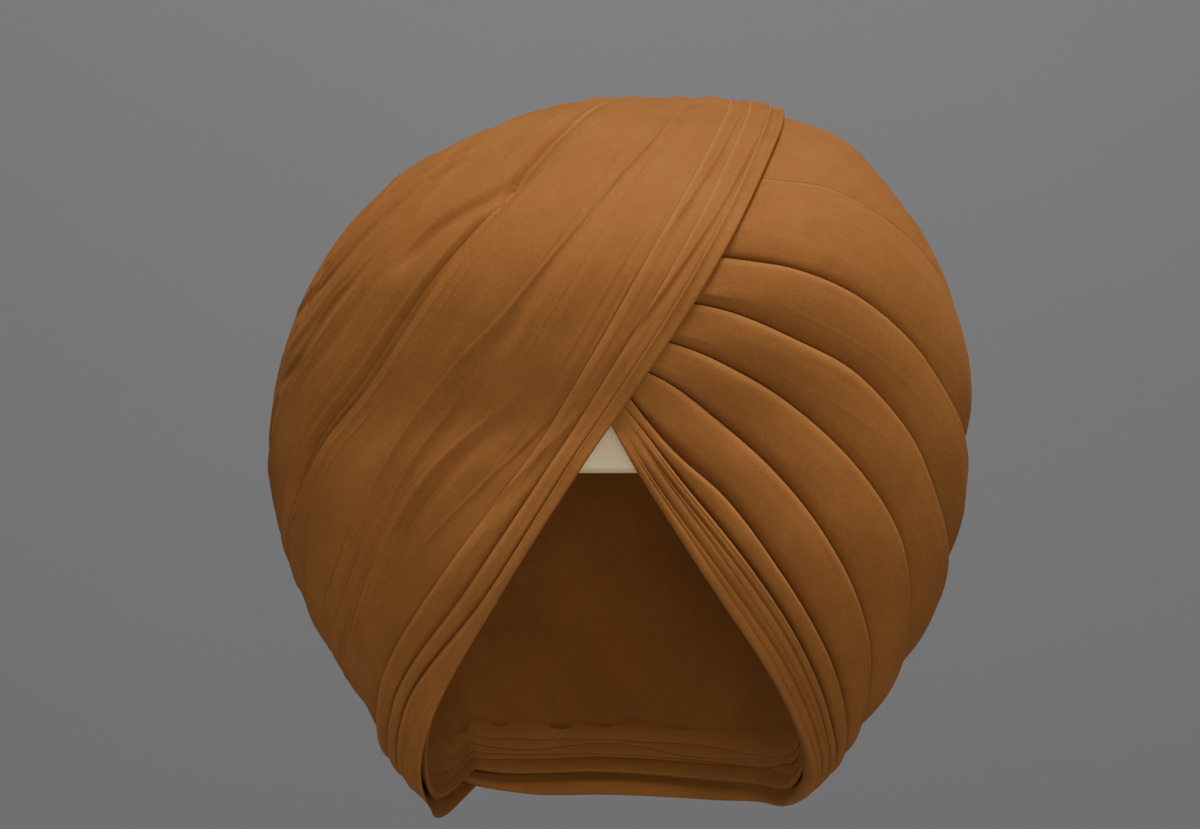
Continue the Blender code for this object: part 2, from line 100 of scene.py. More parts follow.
def from_angles(azimuth: Array, latitude: Array) -> Array:
    """Gives directions at an azimuth from the front towards +X and a latitude, in degrees."""
    a, b = np.radians(azimuth), np.radians(latitude)
    return np.stack([np.cos(b) * np.sin(a), -np.cos(b) * np.cos(a), np.sin(b)], axis=-1)


def side_share(d: Array) -> Array:
    """Is 1 in directions straight to the side and 0 straight to the front or back."""
    return d[..., 0] ** 2 / (d[..., 0] ** 2 + d[..., 1] ** 2 + 1e-12)


def spread(a: Array, b: Array, shares: Array) -> Array:
    """Gives directions between each pair of rows, at the given shares of the way."""
    shares = np.broadcast_to(shares, (len(a), np.shape(shares)[-1]))[..., None]
    return unit(a[:, None] * (1 - shares) + b[:, None] * shares)


def run_length(points: Array, looped: bool) -> Array:
    """Adds up the distance along rows of points, with one more value where the row is a loop."""
    path = np.concatenate([points, points[:1]]) if looped else points
    steps = np.linalg.norm(np.diff(path, axis=0), axis=1)
    return np.concatenate([[0.0], np.cumsum(steps)])


def bell(value: Array) -> Array:
    """Gives a bell curve: 1 at 0, and about a third at 1."""
    return np.exp(-(value**2))


def between(value: Array, first: tuple, end: tuple) -> Array:
    """Is 1 between two runs and 0 outside them, with a smooth step over each run."""
    begun = ease((value - first[0]) / (first[1] - first[0]))
    ended = ease((value - end[0]) / (end[1] - end[0]))
    return begun * (1 - ended)


def rolled(across: Array, width: Array, radius: Array, roundness: float) -> Array:
    """Gives how far a round edge has gone under, as a share of its height.

    Args:
        across: Distances across the turn.
        width: The turn's width, where the edge ends.
        radius: How far before that the edge begins.
        roundness: Just under 1, where 1 would end in an upright face.

    Returns:
        Shares from 0 to about 1.
    """
    way = np.clip((across - width + radius) / radius, 0, 1)
    return 1 - np.sqrt(1 - roundness * way**2)


# The turban's form, with the part's own sizes


@dataclass(frozen=True)
class HeadForm:
    """The egg that the turban is wound on, which narrows towards the jaw and the nape."""

    half_width: float = 0.078
    front: float = 0.100
    back: float = 0.098
    top: float = 0.100
    jaw: float = 0.205
    nape: float = 0.165

    def radius(self, d: Array) -> Array:
        """Gives the egg's radius: one over the length of the direction divided by its half axes."""
        side = side_share(d)
        towards_back = np.where(d[..., 1] > 0, self.nape, self.jaw)
        below = 1 / np.sqrt(side / self.jaw**2 + (1 - side) / towards_back**2)
        length = np.where(d[..., 1] <= 0, self.front, self.back)
        height = np.where(d[..., 2] >= 0, self.top, below)
        axes = np.stack([np.full_like(length, self.half_width), length, height], axis=-1)
        return 1 / np.linalg.norm(d / axes, axis=-1)


@dataclass(frozen=True)
class WoundWall:
    """How thick all the turns are together, from four side tables and one size at the crown."""

    right: float = 0.053
    left: float = 0.047
    front: float = 0.045
    back: float = 0.052
    crown: float = 0.0335
    crown_from: float = 50.0
    crown_run: float = 40.0
    table: tuple = (
        # latitude, right, left, front, back
        (-62, 0.13, 0.12, 0.00, 0.19),
        (-52, 0.42, 0.42, 0.02, 0.45),
        (-42, 0.60, 0.58, 0.06, 0.64),
        (-30, 0.79, 0.73, 0.12, 0.78),
        (-15, 0.93, 0.90, 0.22, 0.94),
        (0, 1.00, 1.00, 0.27, 1.00),
        (10, 1.06, 1.00, 0.35, 0.99),
        (20, 1.09, 1.00, 0.64, 0.94),
        (30, 1.10, 0.99, 0.95, 0.87),
        (45, 1.09, 0.93, 1.07, 0.81),
        (60, 1.08, 0.80, 1.04, 0.76),
        (75, 1.15, 0.54, 1.04, 0.72),
        (90, 1.15, 0.54, 1.04, 0.70),
    )

    def thickness(self, d: Array) -> Array:
        """Blends the side tables by how far a direction points to each side, and in the crown."""
        latitude = np.degrees(np.arcsin(np.clip(d[..., 2], -1, 1)))
        rows = np.array(self.table)
        right, left, front, back = (smooth_rows(rows[:, 0], rows[:, k], latitude) for k in (1, 2, 3, 4))
        across = np.where(d[..., 0] >= 0, right * self.right, left * self.left)
        along = np.where(d[..., 1] <= 0, front * self.front, back * self.back)
        side = side_share(d)
        round_wall = side * across + (1 - side) * along
        crown = ease((latitude - self.crown_from) / self.crown_run)
        return round_wall * (1 - crown) + self.crown * crown


class WrapLine(Enum):
    """Columns of the last wraps' table: the lines that part them, and how deep their grooves are."""

    OPENING_EDGE = 1
    FIRST = 2
    SECOND = 3
    THIRD = 4
    SHOULDER = 5
    GROOVE = 6


@dataclass(frozen=True)
class WrapLines:
    """Lines round an axis that tilts up to the near side, each a height by bearing in degrees."""

    tilt: float = 28.7
    table: tuple = (
        # bearing, opening edge, first, second, third, shoulder, groove depth
        (-90, 3.2, 5.8, 8.6, 11.6, 23.5, 0.35),
        (-60, 1.8, 4.2, 7.0, 9.8, 28.4, 0.35),
        (-30, 1.2, 3.5, 6.4, 9.8, 33.6, 0.40),
        (0, 4.9, 7.1, 9.9, 13.6, 46.0, 0.60),
        (30, 6.7, 8.9, 12.3, 17.5, 53.6, 0.90),
        (60, 6.0, 11.4, 13.9, 17.8, 50.9, 1.00),
        (90, -1.6, 3.8, 6.6, 9.6, 44.0, 1.00),
        (120, -6.0, -1.5, 1.5, 4.8, 38.0, 0.80),
        (150, -4.0, 0.0, 3.2, 6.8, 36.0, 0.60),
        (180, 0.0, 3.4, 6.4, 9.9, 36.0, 0.50),
        (210, 2.0, 5.0, 7.9, 11.2, 32.0, 0.45),
        (240, 3.2, 6.0, 8.8, 11.8, 26.0, 0.40),
    )

    @property
    def axis(self) -> Array:
        """The tilted axis."""
        return np.array([-np.cos(np.radians(self.tilt)), 0.0, np.sin(np.radians(self.tilt))])

    @property
    def front(self) -> Array:
        """Bearing 0, straight to the front."""
        return np.array([0.0, -1.0, 0.0])

    @property
    def ear(self) -> Array:
        """Bearing 90, down to the near ear."""
        return np.cross(self.front, self.axis)

    def around(self, line: WrapLine, bearing: Array) -> Array:
        """Reads a column of the table at any bearing, going round."""
        rows = np.array(self.table)
        bearings = np.concatenate([rows[:, 0] - 360, rows[:, 0], rows[:, 0] + 360])
        return smooth_rows(bearings, np.tile(rows[:, line.value], 3), bearing)

    def bearing(self, d: Array) -> Array:
        """Gives the bearing round the axis, in degrees."""
        return np.degrees(np.arctan2(d @ self.ear, d @ self.front))

    def height(self, d: Array) -> Array:
        """Gives the height over the plane across the axis, in degrees."""
        return np.degrees(np.arcsin(np.clip(d @ self.axis, -1, 1)))

    def direction(self, bearing: Array, height: Array) -> Array:
        """Gives the direction at a bearing and a height."""
        a, b = np.radians(bearing), np.radians(height)
        level = np.cos(a)[..., None] * self.front + np.sin(a)[..., None] * self.ear
        return np.cos(b)[..., None] * level + np.sin(b)[..., None] * self.axis


@dataclass(frozen=True)
class FoldLines:
    """Lines that part the far side's folds, each a latitude by azimuth in degrees."""

    table: tuple = (
        # azimuth, thin edge, brow, temple, upper ear, ear, lower ear, inner, opening edge
        (-10, 45.6, 33.0, 29.5, 27.5, 26.3, 25.6, 25.0, 24.0),
        (-5, 45.5, 32.4, 28.2, 25.0, 23.0, 21.4, 19.9, 17.0),
        (0, 45.4, 32.0, 26.9, 22.2, 19.2, 16.4, 14.0, 8.5),
        (5, 45.2, 31.9, 26.3, 21.3, 17.0, 10.7, 8.4, -0.4),
        (10, 45.0, 31.7, 25.8, 20.3, 14.9, 4.9, 1.8, -8.1),
        (20, 44.8, 31.2, 24.4, 17.2, 8.4, -3.7, -9.8, -21.6),
        (32, 44.4, 30.1, 20.9, 11.6, -1.7, -17.0, -22.6, -33.7),
        (45, 43.2, 26.8, 15.8, 2.0, -15.3, -29.6, -34.8, -43.9),
        (57, 39.6, 21.2, 7.2, -9.3, -27.7, -39.2, -43.6, -50.7),
        (70, 34.0, 12.0, -5.8, -25.5, -39.8, -46.7, -50.0, -56.0),
        (90, 23.0, -2.0, -20.5, -38.5, -48.3, -53.6, -56.2, -61.0),
        (135, -2.0, -25.5, -36.5, -45.5, -51.3, -54.9, -57.2, -61.5),
        (180, -20.0, -37.5, -43.0, -47.2, -50.6, -53.3, -55.2, -58.8),
        (225, -27.0, -42.5, -46.5, -49.7, -52.3, -54.5, -56.2, -59.3),
        (260, -22.0, -36.0, -40.0, -43.0, -45.5, -47.8, -49.6, -53.0),
    )

    @property
    def count(self) -> int:
        """How many lines there are."""
        return len(self.table[0]) - 1

    def latitude(self, line: int, azimuth: Array) -> Array:
        """Reads one line at any azimuth."""
        rows = np.array(self.table)
        return smooth_rows(rows[:, 0], rows[:, line + 1], azimuth)


@dataclass(frozen=True)
class TurbanForm:
    """The whole form: the head, the wall on it, and how the wall is shared among the turns."""

    head: HeadForm = HeadForm()
    wall: WoundWall = WoundWall()
    wraps: WrapLines = WrapLines()
    folds: FoldLines = FoldLines()
    cover_most: float = 0.0070
    cover_half_wall: float = 0.016
    fold_most: float = 0.020
    fold_half_wall: float = 0.050
    lean_most: float = 0.005
    lean_share: float = 0.3
    tuck: float = 0.010
    dive_start: float = 0.013
    dive_end: float = 0.003
    ramp_start: float = 0.002
    ramp_run: float = 0.026
    gap: float = 0.0008
    core_gap: float = 0.0020
    thin_share: float = 0.62
    thin_run: float = 0.030
    opening_from: tuple = (-17.0, -6.0)
    opening_to: tuple = (118.0, 140.0)

    def outline(self, d: Array) -> Array:
        """Gives the radius of the outline: the head's and the wall's thickness on it."""
        return self.head.radius(d) + self.wall.thickness(d)

    def free(self, d: Array) -> Array:
        """Gives the wall's thickness less its clearances."""
        return self.wall.thickness(d) - self.gap - self.core_gap

    def cover(self, d: Array) -> Array:
        """Gives the last wraps' thickness, which levels off as the wall grows."""
        free = self.free(d)
        return self.cover_most * free / (free + self.cover_half_wall)

    def fold(self, d: Array) -> Array:
        """Gives the side folds' thickness below the level of the last wraps."""
        free = self.free(d)
        return self.fold_most * free / (free + self.fold_half_wall)

    def edge_cover(self, d: Array) -> Array:
        """Gives the last wraps' thickness, thinned along the edge that lies on the far side's turns.

        The cloth there starts at a share of its thickness and grows to all of it over a run past
        the edge. Beside the opening it keeps all of it.
        """
        bearing = self.wraps.bearing(d)
        opening = between(bearing, self.opening_from, self.opening_to)
        past = ease(self.past_edge(d) / self.thin_run)
        return self.cover(d) * (1 - self.thin_share * (1 - opening) * (1 - past))

    def past_edge(self, d: Array) -> Array:
        """Gives the distance inside the last wraps' edge in metres, negative outside it."""
        edge = self.wraps.around(WrapLine.OPENING_EDGE, self.wraps.bearing(d))
        return np.radians(self.wraps.height(d) - edge) * self.outline(d)

    def core(self, d: Array) -> Array:
        """Gives the inner turns' outer radius, raised on a ramp under the last wraps."""
        ramp = np.clip((self.past_edge(d) + self.ramp_start) / (self.ramp_start + self.ramp_run), 0, 1)
        return self.outline(d) - self.cover(d) - self.core_gap - self.fold(d) * (1 - ramp)

    def arc(self, a: Array, b: Array) -> Array:
        """Gives the distance over the outline between directions."""
        angle = np.arccos(np.clip(np.sum(a * b, axis=-1), -1, 1))
        return angle * self.outline(unit(a + b))

    def moved(self, d: Array, towards: Array, distance: Array) -> Array:
        """Gives directions moved over the outline by a distance."""
        return unit(d + towards * (distance / self.outline(d))[:, None])

    def lean(self, above: Array, below: Array) -> Array:
        """Gives how far a turn reaches below the lip of the next one."""
        return np.minimum(self.lean_most, self.lean_share * np.minimum(above, below))


# Relief of the cloth


@dataclass(frozen=True)
class Crease:
    """A thin raised line over the wraps, with the soft hollow beside it."""

    line: tuple
    ridge: float
    ridge_width: float
    hollow: float
    hollow_width: float
    fade: float = 0.25
    hollow_away: float = 0.7
    samples: int = 90

    def relief(self, form: TurbanForm, d: Array) -> Array:
        """Gives its height in each direction.

        The line's points, each a bearing and a height, are joined by a smooth curve. A direction's
        distance from the curve is measured across it at the nearest sample, and its share of the
        way along. Across it the ridge and the hollow, on the side of the opening, are bell curves.
        Both ends fade over a share of the length.
        """
        points = np.array(self.line, float)
        coarse = form.wraps.direction(points[:, 0], points[:, 1])
        at = run_length(coarse, False)
        where = np.linspace(0, at[-1], self.samples)
        curve = unit(np.stack([smooth_rows(at, column, where) for column in coarse.T], axis=-1))
        tangent = unit(np.gradient(curve, axis=0))
        across = np.cross(curve, tangent)
        across = across * np.sign((across @ form.wraps.axis).sum())
        flat = d.reshape(-1, 3)
        nearest = np.argmax(flat @ curve.T, axis=1)
        offset = flat - curve[nearest]
        away = np.einsum("ij,ij->i", offset, across[nearest]).reshape(d.shape[:-1]) * form.outline(d)
        step = np.einsum("ij,ij->i", offset, tangent[nearest]) / at[-1]
        share = (nearest / (self.samples - 1) + step).reshape(d.shape[:-1])
        ends = ease(share / self.fade) * ease((1 - share) / self.fade)
        ridge = self.ridge * bell(away / self.ridge_width)
        beside = (away + self.ridge_width + self.hollow_away * self.hollow_width) / self.hollow_width
        return (ridge - self.hollow * bell(beside)) * ends


@dataclass(frozen=True)
class Rumple:
    """Soft folds that run along a turn: random heights on a stretched lattice, blended."""

    seed: int
    along: float
    across: float
    height: float
    sharp: float = 0.0

    def other(self, step: int) -> "Rumple":
        """Gives folds of the same sizes with other random heights."""
        return replace(self, seed=self.seed + step)

    def relief(self, u: Array, v: Array, round_length: Optional[float] = None) -> Array:
        """Gives the height at places on the cloth.

        Each place blends the four lattice heights round it with a quintic step. Where sharp is
        set, the value stands up as thin creases along the places where the blend crosses zero.

        Args:
            u: Distance along the turn, in metres.
            v: Distance across it, in metres.
            round_length: The turn's length where it closes on itself.

        Returns:
            Heights in metres.
        """
        count = max(3, round(round_length / self.along)) if round_length else LATTICE
        step = round_length / count if round_length else self.along
        lattice = np.random.default_rng(self.seed).uniform(-1, 1, (count, LATTICE))
        x, y = u / step, v / self.across
        i, j = np.floor(x).astype(int), np.floor(y).astype(int)
        fx, fy = x - i, y - j
        fx = fx**3 * (fx * (fx * 6 - 15) + 10)
        fy = fy**3 * (fy * (fy * 6 - 15) + 10)
        i, j, after_i, after_j = i % count, j % LATTICE, (i + 1) % count, (j + 1) % LATTICE
        near = lattice[i, j] * (1 - fy) + lattice[i, after_j] * fy
        far = lattice[after_i, j] * (1 - fy) + lattice[after_i, after_j] * fy
        blend = near * (1 - fx) + far * fx
        if self.sharp:
            return self.height * bell(blend / self.sharp)
        return self.height * blend


CREASES = {
    # Each line is a row of points, by bearing and height in degrees
    "long_ridge": Crease(
        line=(
            (-66, 16.9), (-48, 16.9), (-39, 18.4), (-29, 20.4), (-17, 24.5), (-2, 31.9), (9, 35.7),
            (27, 37.2), (67, 32.2),
        ),
        ridge=0.0009, ridge_width=0.0007, hollow=0.0012, hollow_width=0.0034, fade=0.12,
    ),
    "high_ridge": Crease(
        line=(
            (-46, 31.0), (-46, 37.5), (-43, 42.8), (-41, 48.9), (-37, 52.6), (-31, 57.4),
            (-20, 64.7), (-8, 71.2), (20, 75.5),
        ),
        ridge=0.0010, ridge_width=0.0009, hollow=0.0012, hollow_width=0.0030,
    ),
    "high_groove": Crease(
        line=((-50, 39.0), (-48, 45.4), (-47, 50.0), (-46, 53.6), (-40, 60.0)),
        ridge=0.0003, ridge_width=0.0007, hollow=0.0011, hollow_width=0.0024,
    ),
    "front_groove": Crease(
        line=(
            (-40, 30.6), (-35, 33.6), (-32, 35.9), (-29.5, 39.2), (-27, 42.0), (-21, 45.4),
            (-14, 48.5),
        ),
        ridge=0.0008, ridge_width=0.0009, hollow=0.0032, hollow_width=0.0034,
    ),
    "side_line": Crease(
        line=(
            (-22, 49.4), (-18, 53.9), (-12, 57.7), (-6, 61.6), (3, 64.8), (17, 67.4), (34, 71.0),
            (55, 73.5),
        ),
        ridge=0.0008, ridge_width=0.0007, hollow=0.0011, hollow_width=0.0036,
    ),
    "far_side_line": Crease(
        line=((-28, 68.2), (-21, 71.9), (-9, 73.9), (5, 74.9), (18, 74.3)),
        ridge=0.0007, ridge_width=0.0007, hollow=0.0009, hollow_width=0.0030,
    ),
    "soft_line": Crease(
        line=(
            (-12, 25.0), (-2, 28.6), (7, 31.2), (19, 32.9), (33, 33.4), (50, 32.6), (72, 29.6),
            (90, 26.0),
        ),
        ridge=0.0006, ridge_width=0.0009, hollow=0.0011, hollow_width=0.0030,
    ),
    "wrap_swell": Crease(
        line=(
            (-12, 17.6), (-3, 20.6), (7, 25.5), (19, 29.0), (32, 30.0), (46, 29.4), (65, 26.6),
            (86, 22.4),
        ),
        ridge=0.0011, ridge_width=0.0011, hollow=0.0019, hollow_width=0.0036,
    ),
    "low_swell": Crease(
        line=(
            (-16, 11.0), (-6, 13.0), (4, 16.2), (16, 20.0), (30, 23.4), (50, 24.4), (68, 23.0),
            (86, 18.6),
        ),
        ridge=0.0008, ridge_width=0.0009, hollow=0.0016, hollow_width=0.0030,
    ),
    "low_line": Crease(
        line=(
            (-16, 7.4), (-7, 9.4), (3, 12.6), (14, 15.8), (25, 18.8), (42, 20.6), (62, 20.0),
            (80, 15.6),
        ),
        ridge=0.0005, ridge_width=0.0007, hollow=0.0014, hollow_width=0.0026,
    ),
    "edge_line": Crease(
        line=((-64, 4.6), (-52, 4.4), (-42, 4.4), (-35, 4.8), (-28, 5.8), (-20, 7.6), (-10, 10.1)),
        ridge=0.0004, ridge_width=0.0007, hollow=0.0007, hollow_width=0.0012,
    ),
    "top_line": Crease(
        line=((-85, 8.3), (-61, 8.1), (-51, 7.9), (-40, 8.4), (-25, 10.2)),
        ridge=0.0004, ridge_width=0.0007, hollow=0.0009, hollow_width=0.0024,
    ),
}


# Meshes of cloth


@dataclass
class ClothPiece:
    """A closed turn of cloth between an outer and an inner grid of points."""

    name: str
    outer: Array
    inner: Array
    looped: bool
    # Painted highlight along the lips, and the band's hem, at each outer point.
    lip_highlight_and_hem: Array

    def flat_grid(self) -> Array:
        """Gives where each point lies on the cloth, in metres along and across it."""
        ring = self.ring()
        middle = ring[:, self.outer.shape[1] // 2]
        along = run_length(middle, self.looped)
        across = np.linalg.norm(np.diff(ring, axis=1), axis=2)
        across = np.concatenate([np.zeros((len(ring), 1)), np.cumsum(across, axis=1)], axis=1)
        if self.looped:
            across = np.concatenate([across, across[:1]])
        return np.stack([np.broadcast_to(along[:, None], across.shape), across], axis=-1)

    def ring(self) -> Array:
        """Gives the points round the section: the outer sheet, back along the inner, and home."""
        return np.concatenate([self.outer, self.inner[:, ::-1], self.outer[:, :1]], axis=1)

    def build(self) -> bpy.types.Object:
        """Makes the object: quads round the section, and one face at each open end."""
        stations, outer_columns = self.outer.shape[:2]
        columns = outer_columns + self.inner.shape[1]
        points = np.concatenate([self.outer, self.inner[:, ::-1]], axis=1)
        index = np.arange(stations * columns).reshape(stations, columns)
        index = np.concatenate([index, index[:, :1]], axis=1)
        if self.looped:
            index = np.concatenate([index, index[:1]])
        cells = quads_of(index)
        flat = quads_of(self.flat_grid())
        ends = [] if self.looped else [index[0, :-1], index[-1, -2::-1]]
        corner = points.reshape(-1, 3)[cells]
        turned = np.einsum("ij,ij->i", corner[:, 0], np.cross(corner[:, 1], corner[:, 2])).sum() < 0
        if turned:
            cells, flat = cells[:, ::-1], flat[:, ::-1]
            ends = [end[::-1] for end in ends]
        faces = cells.tolist() + [end[::-1].tolist() for end in ends]
        end_places = np.zeros((sum(len(end) for end in ends), 2))
        places = np.concatenate([flat.reshape(-1, 2), end_places])
        # Only the outer sheet takes the painted highlight, and on the band its hem.
        lip_highlight_and_hem = np.zeros((stations, columns))
        lip_highlight_and_hem[:, :outer_columns] = self.lip_highlight_and_hem
        return mesh_object(self.name, points.reshape(-1, 3), faces, places, lip_highlight_and_hem.ravel())


def quads_of(grid: Array) -> Array:
    """Gives the four corners of each cell of a grid of indices or places."""
    corners = np.stack([grid[:-1, :-1], grid[:-1, 1:], grid[1:, 1:], grid[1:, :-1]], axis=2)
    return corners.reshape(-1, *corners.shape[2:])


def capped(outer: Array, inner: Array, peak: Array, root: Array) -> tuple:
    """Closes a ring of cloth over its axis, with a point outside and a point inside.

    Args:
        outer: The outer sheet's points, a row for each station from the rim up.
        inner: The inner sheet's points, the same way.
        peak: The outside point on the axis, as one row.
        root: The inside point on the axis, as one row.

    Returns:
        The points, the quads round the section, and the triangles of both caps, facing outwards.
    """
    stations = len(outer)
    points = np.concatenate([outer[:, ::-1], inner], axis=1)
    count = points.shape[0] * points.shape[1]
    index = np.arange(count).reshape(stations, -1)
    index = np.concatenate([index, index[:1]])
    cells = quads_of(index)
    top, bottom = index[:, 0], index[:, -1]
    above = np.stack([top[1:], top[:-1], np.full(stations, count)], axis=1)
    below = np.stack([bottom[:-1], bottom[1:], np.full(stations, count + 1)], axis=1)
    caps = np.concatenate([above, below])
    points = np.concatenate([points.reshape(-1, 3), peak, root])
    corner = points[cells]
    if np.einsum("ij,ij->i", corner[:, 0], np.cross(corner[:, 1], corner[:, 2])).sum() < 0:
        cells, caps = cells[:, ::-1], caps[:, ::-1]
    return points, cells, caps


def mesh_object(
    name: str, points: Array, faces: list, places: Array, lip_highlight_and_hem: Array
) -> bpy.types.Object:
    """Makes an object with the cloth's UV map in metres and its attribute of painted highlight on the
    lips, which on the band marks the hem.

    Args:
        name: The object's name.
        points: Its vertices.
        faces: Its faces, as lists of vertex indices.
        places: Where each face corner lies on the cloth.
        lip_highlight_and_hem: How much painted highlight each vertex takes along a lip, and on the band
            how much hem thread, from 0 to 1.

    Returns:
        The object, linked and at the origin.
    """
    mesh = bpy.data.meshes.new(name)
    mesh.from_pydata(points.tolist(), [], faces)
    mesh.shade_smooth()
    layer = mesh.uv_layers.new(name="cloth")
    layer.data.foreach_set("uv", np.ascontiguousarray(places, np.float32).ravel())
    attribute = mesh.attributes.new("lip_highlight_and_hem", "FLOAT", "POINT")
    attribute.data.foreach_set("value", np.ascontiguousarray(lip_highlight_and_hem, np.float32))
    piece = bpy.data.objects.new(name, mesh)
    bpy.context.scene.collection.objects.link(piece)
    return piece


@dataclass
class ClothTurns:
    """What the sub-assemblies share: the form, and how a finished turn is attached to the body."""

    form: TurbanForm
    made: dict = field(default_factory=dict)
    strip_least: float = 0.010
    narrow_share: float = 0.3
    back_crest: float = 0.3
    roll_roundness: float = 0.96
    edge_roundness: float = 0.98
    # Width of the painted highlight along a lip, and of the band's hem.
    highlight_and_hem_width: float = 0.0010

    def across(self, lip: Array, width: Array, rest: Array) -> Array:
        """Gives the distances across a turn: over its lip, and then shares of the way to the next."""
        onward = lip[:, -1:] + (width - lip[:, -1:]) * rest
        return np.concatenate([lip, onward], axis=1)

    def falling(self, share: Array) -> Array:
        """Falls from 0 to 1, with the square of the way from the crest of a turn's back."""
        return np.clip((share - self.back_crest) / (1 - self.back_crest), 0, 1) ** 2

    def lip_highlight_and_hem_mask(self, across: Array, middle: Any) -> Array:
        """Gives the share of painted highlight along a lip, and of hem thread on the band: 1 along the
        middle, and less beside it.
        """
        return bell((across - middle) / self.highlight_and_hem_width)

    def lip(self, width: Array, most: Array, drop: float = 1.0, points: int = 9) -> tuple:
        """Rounds a lip: a quarter ellipse from the lip's foot up to the back of the turn.

        Args:
            width: The turn's width at each station.
            most: How far it goes across at most.
            drop: Its height as a share of how far it goes across.
            points: How many points it has.

        Returns:
            Distances across from the line, and drops below the outline.
        """
        radius = np.minimum(most, self.narrow_share * width)[:, None]
        angle = np.linspace(0, np.pi / 2, points)
        return radius * (1 - np.cos(angle)), radius * drop * (1 - np.sin(angle))

    def keep(self, cloth: ClothPiece, slot: str, rests_on: tuple, held: str) -> None:
        node = cloth.name
        cloth.name = node + "_cloth"
        piece = cloth.build()
        length = float(run_length(cloth.outer[:, cloth.outer.shape[1] // 2], cloth.looped)[-1])
        around = np.linalg.norm(np.diff(cloth.ring(), axis=1), axis=2).sum(axis=1)
        flat = (max(self.strip_least, round(float(np.mean(around)) / 2, 3)), round(length, 3))
        self.declare(node, piece, slot, flat, rests_on, held)

    def declare(
        self, node: str, piece: bpy.types.Object, slot: str, flat: tuple, rests_on: tuple, held: str
    ) -> None:
        """Attaches a finished turn to the body, hides the part it stands for and logs its size."""
        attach(piece, BODY)
        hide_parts(node)
        LOG.info("%s: %d faces, sheet %.3f x %.3f m", piece.name, len(piece.data.polygons), *flat)
        self.made[node] = piece


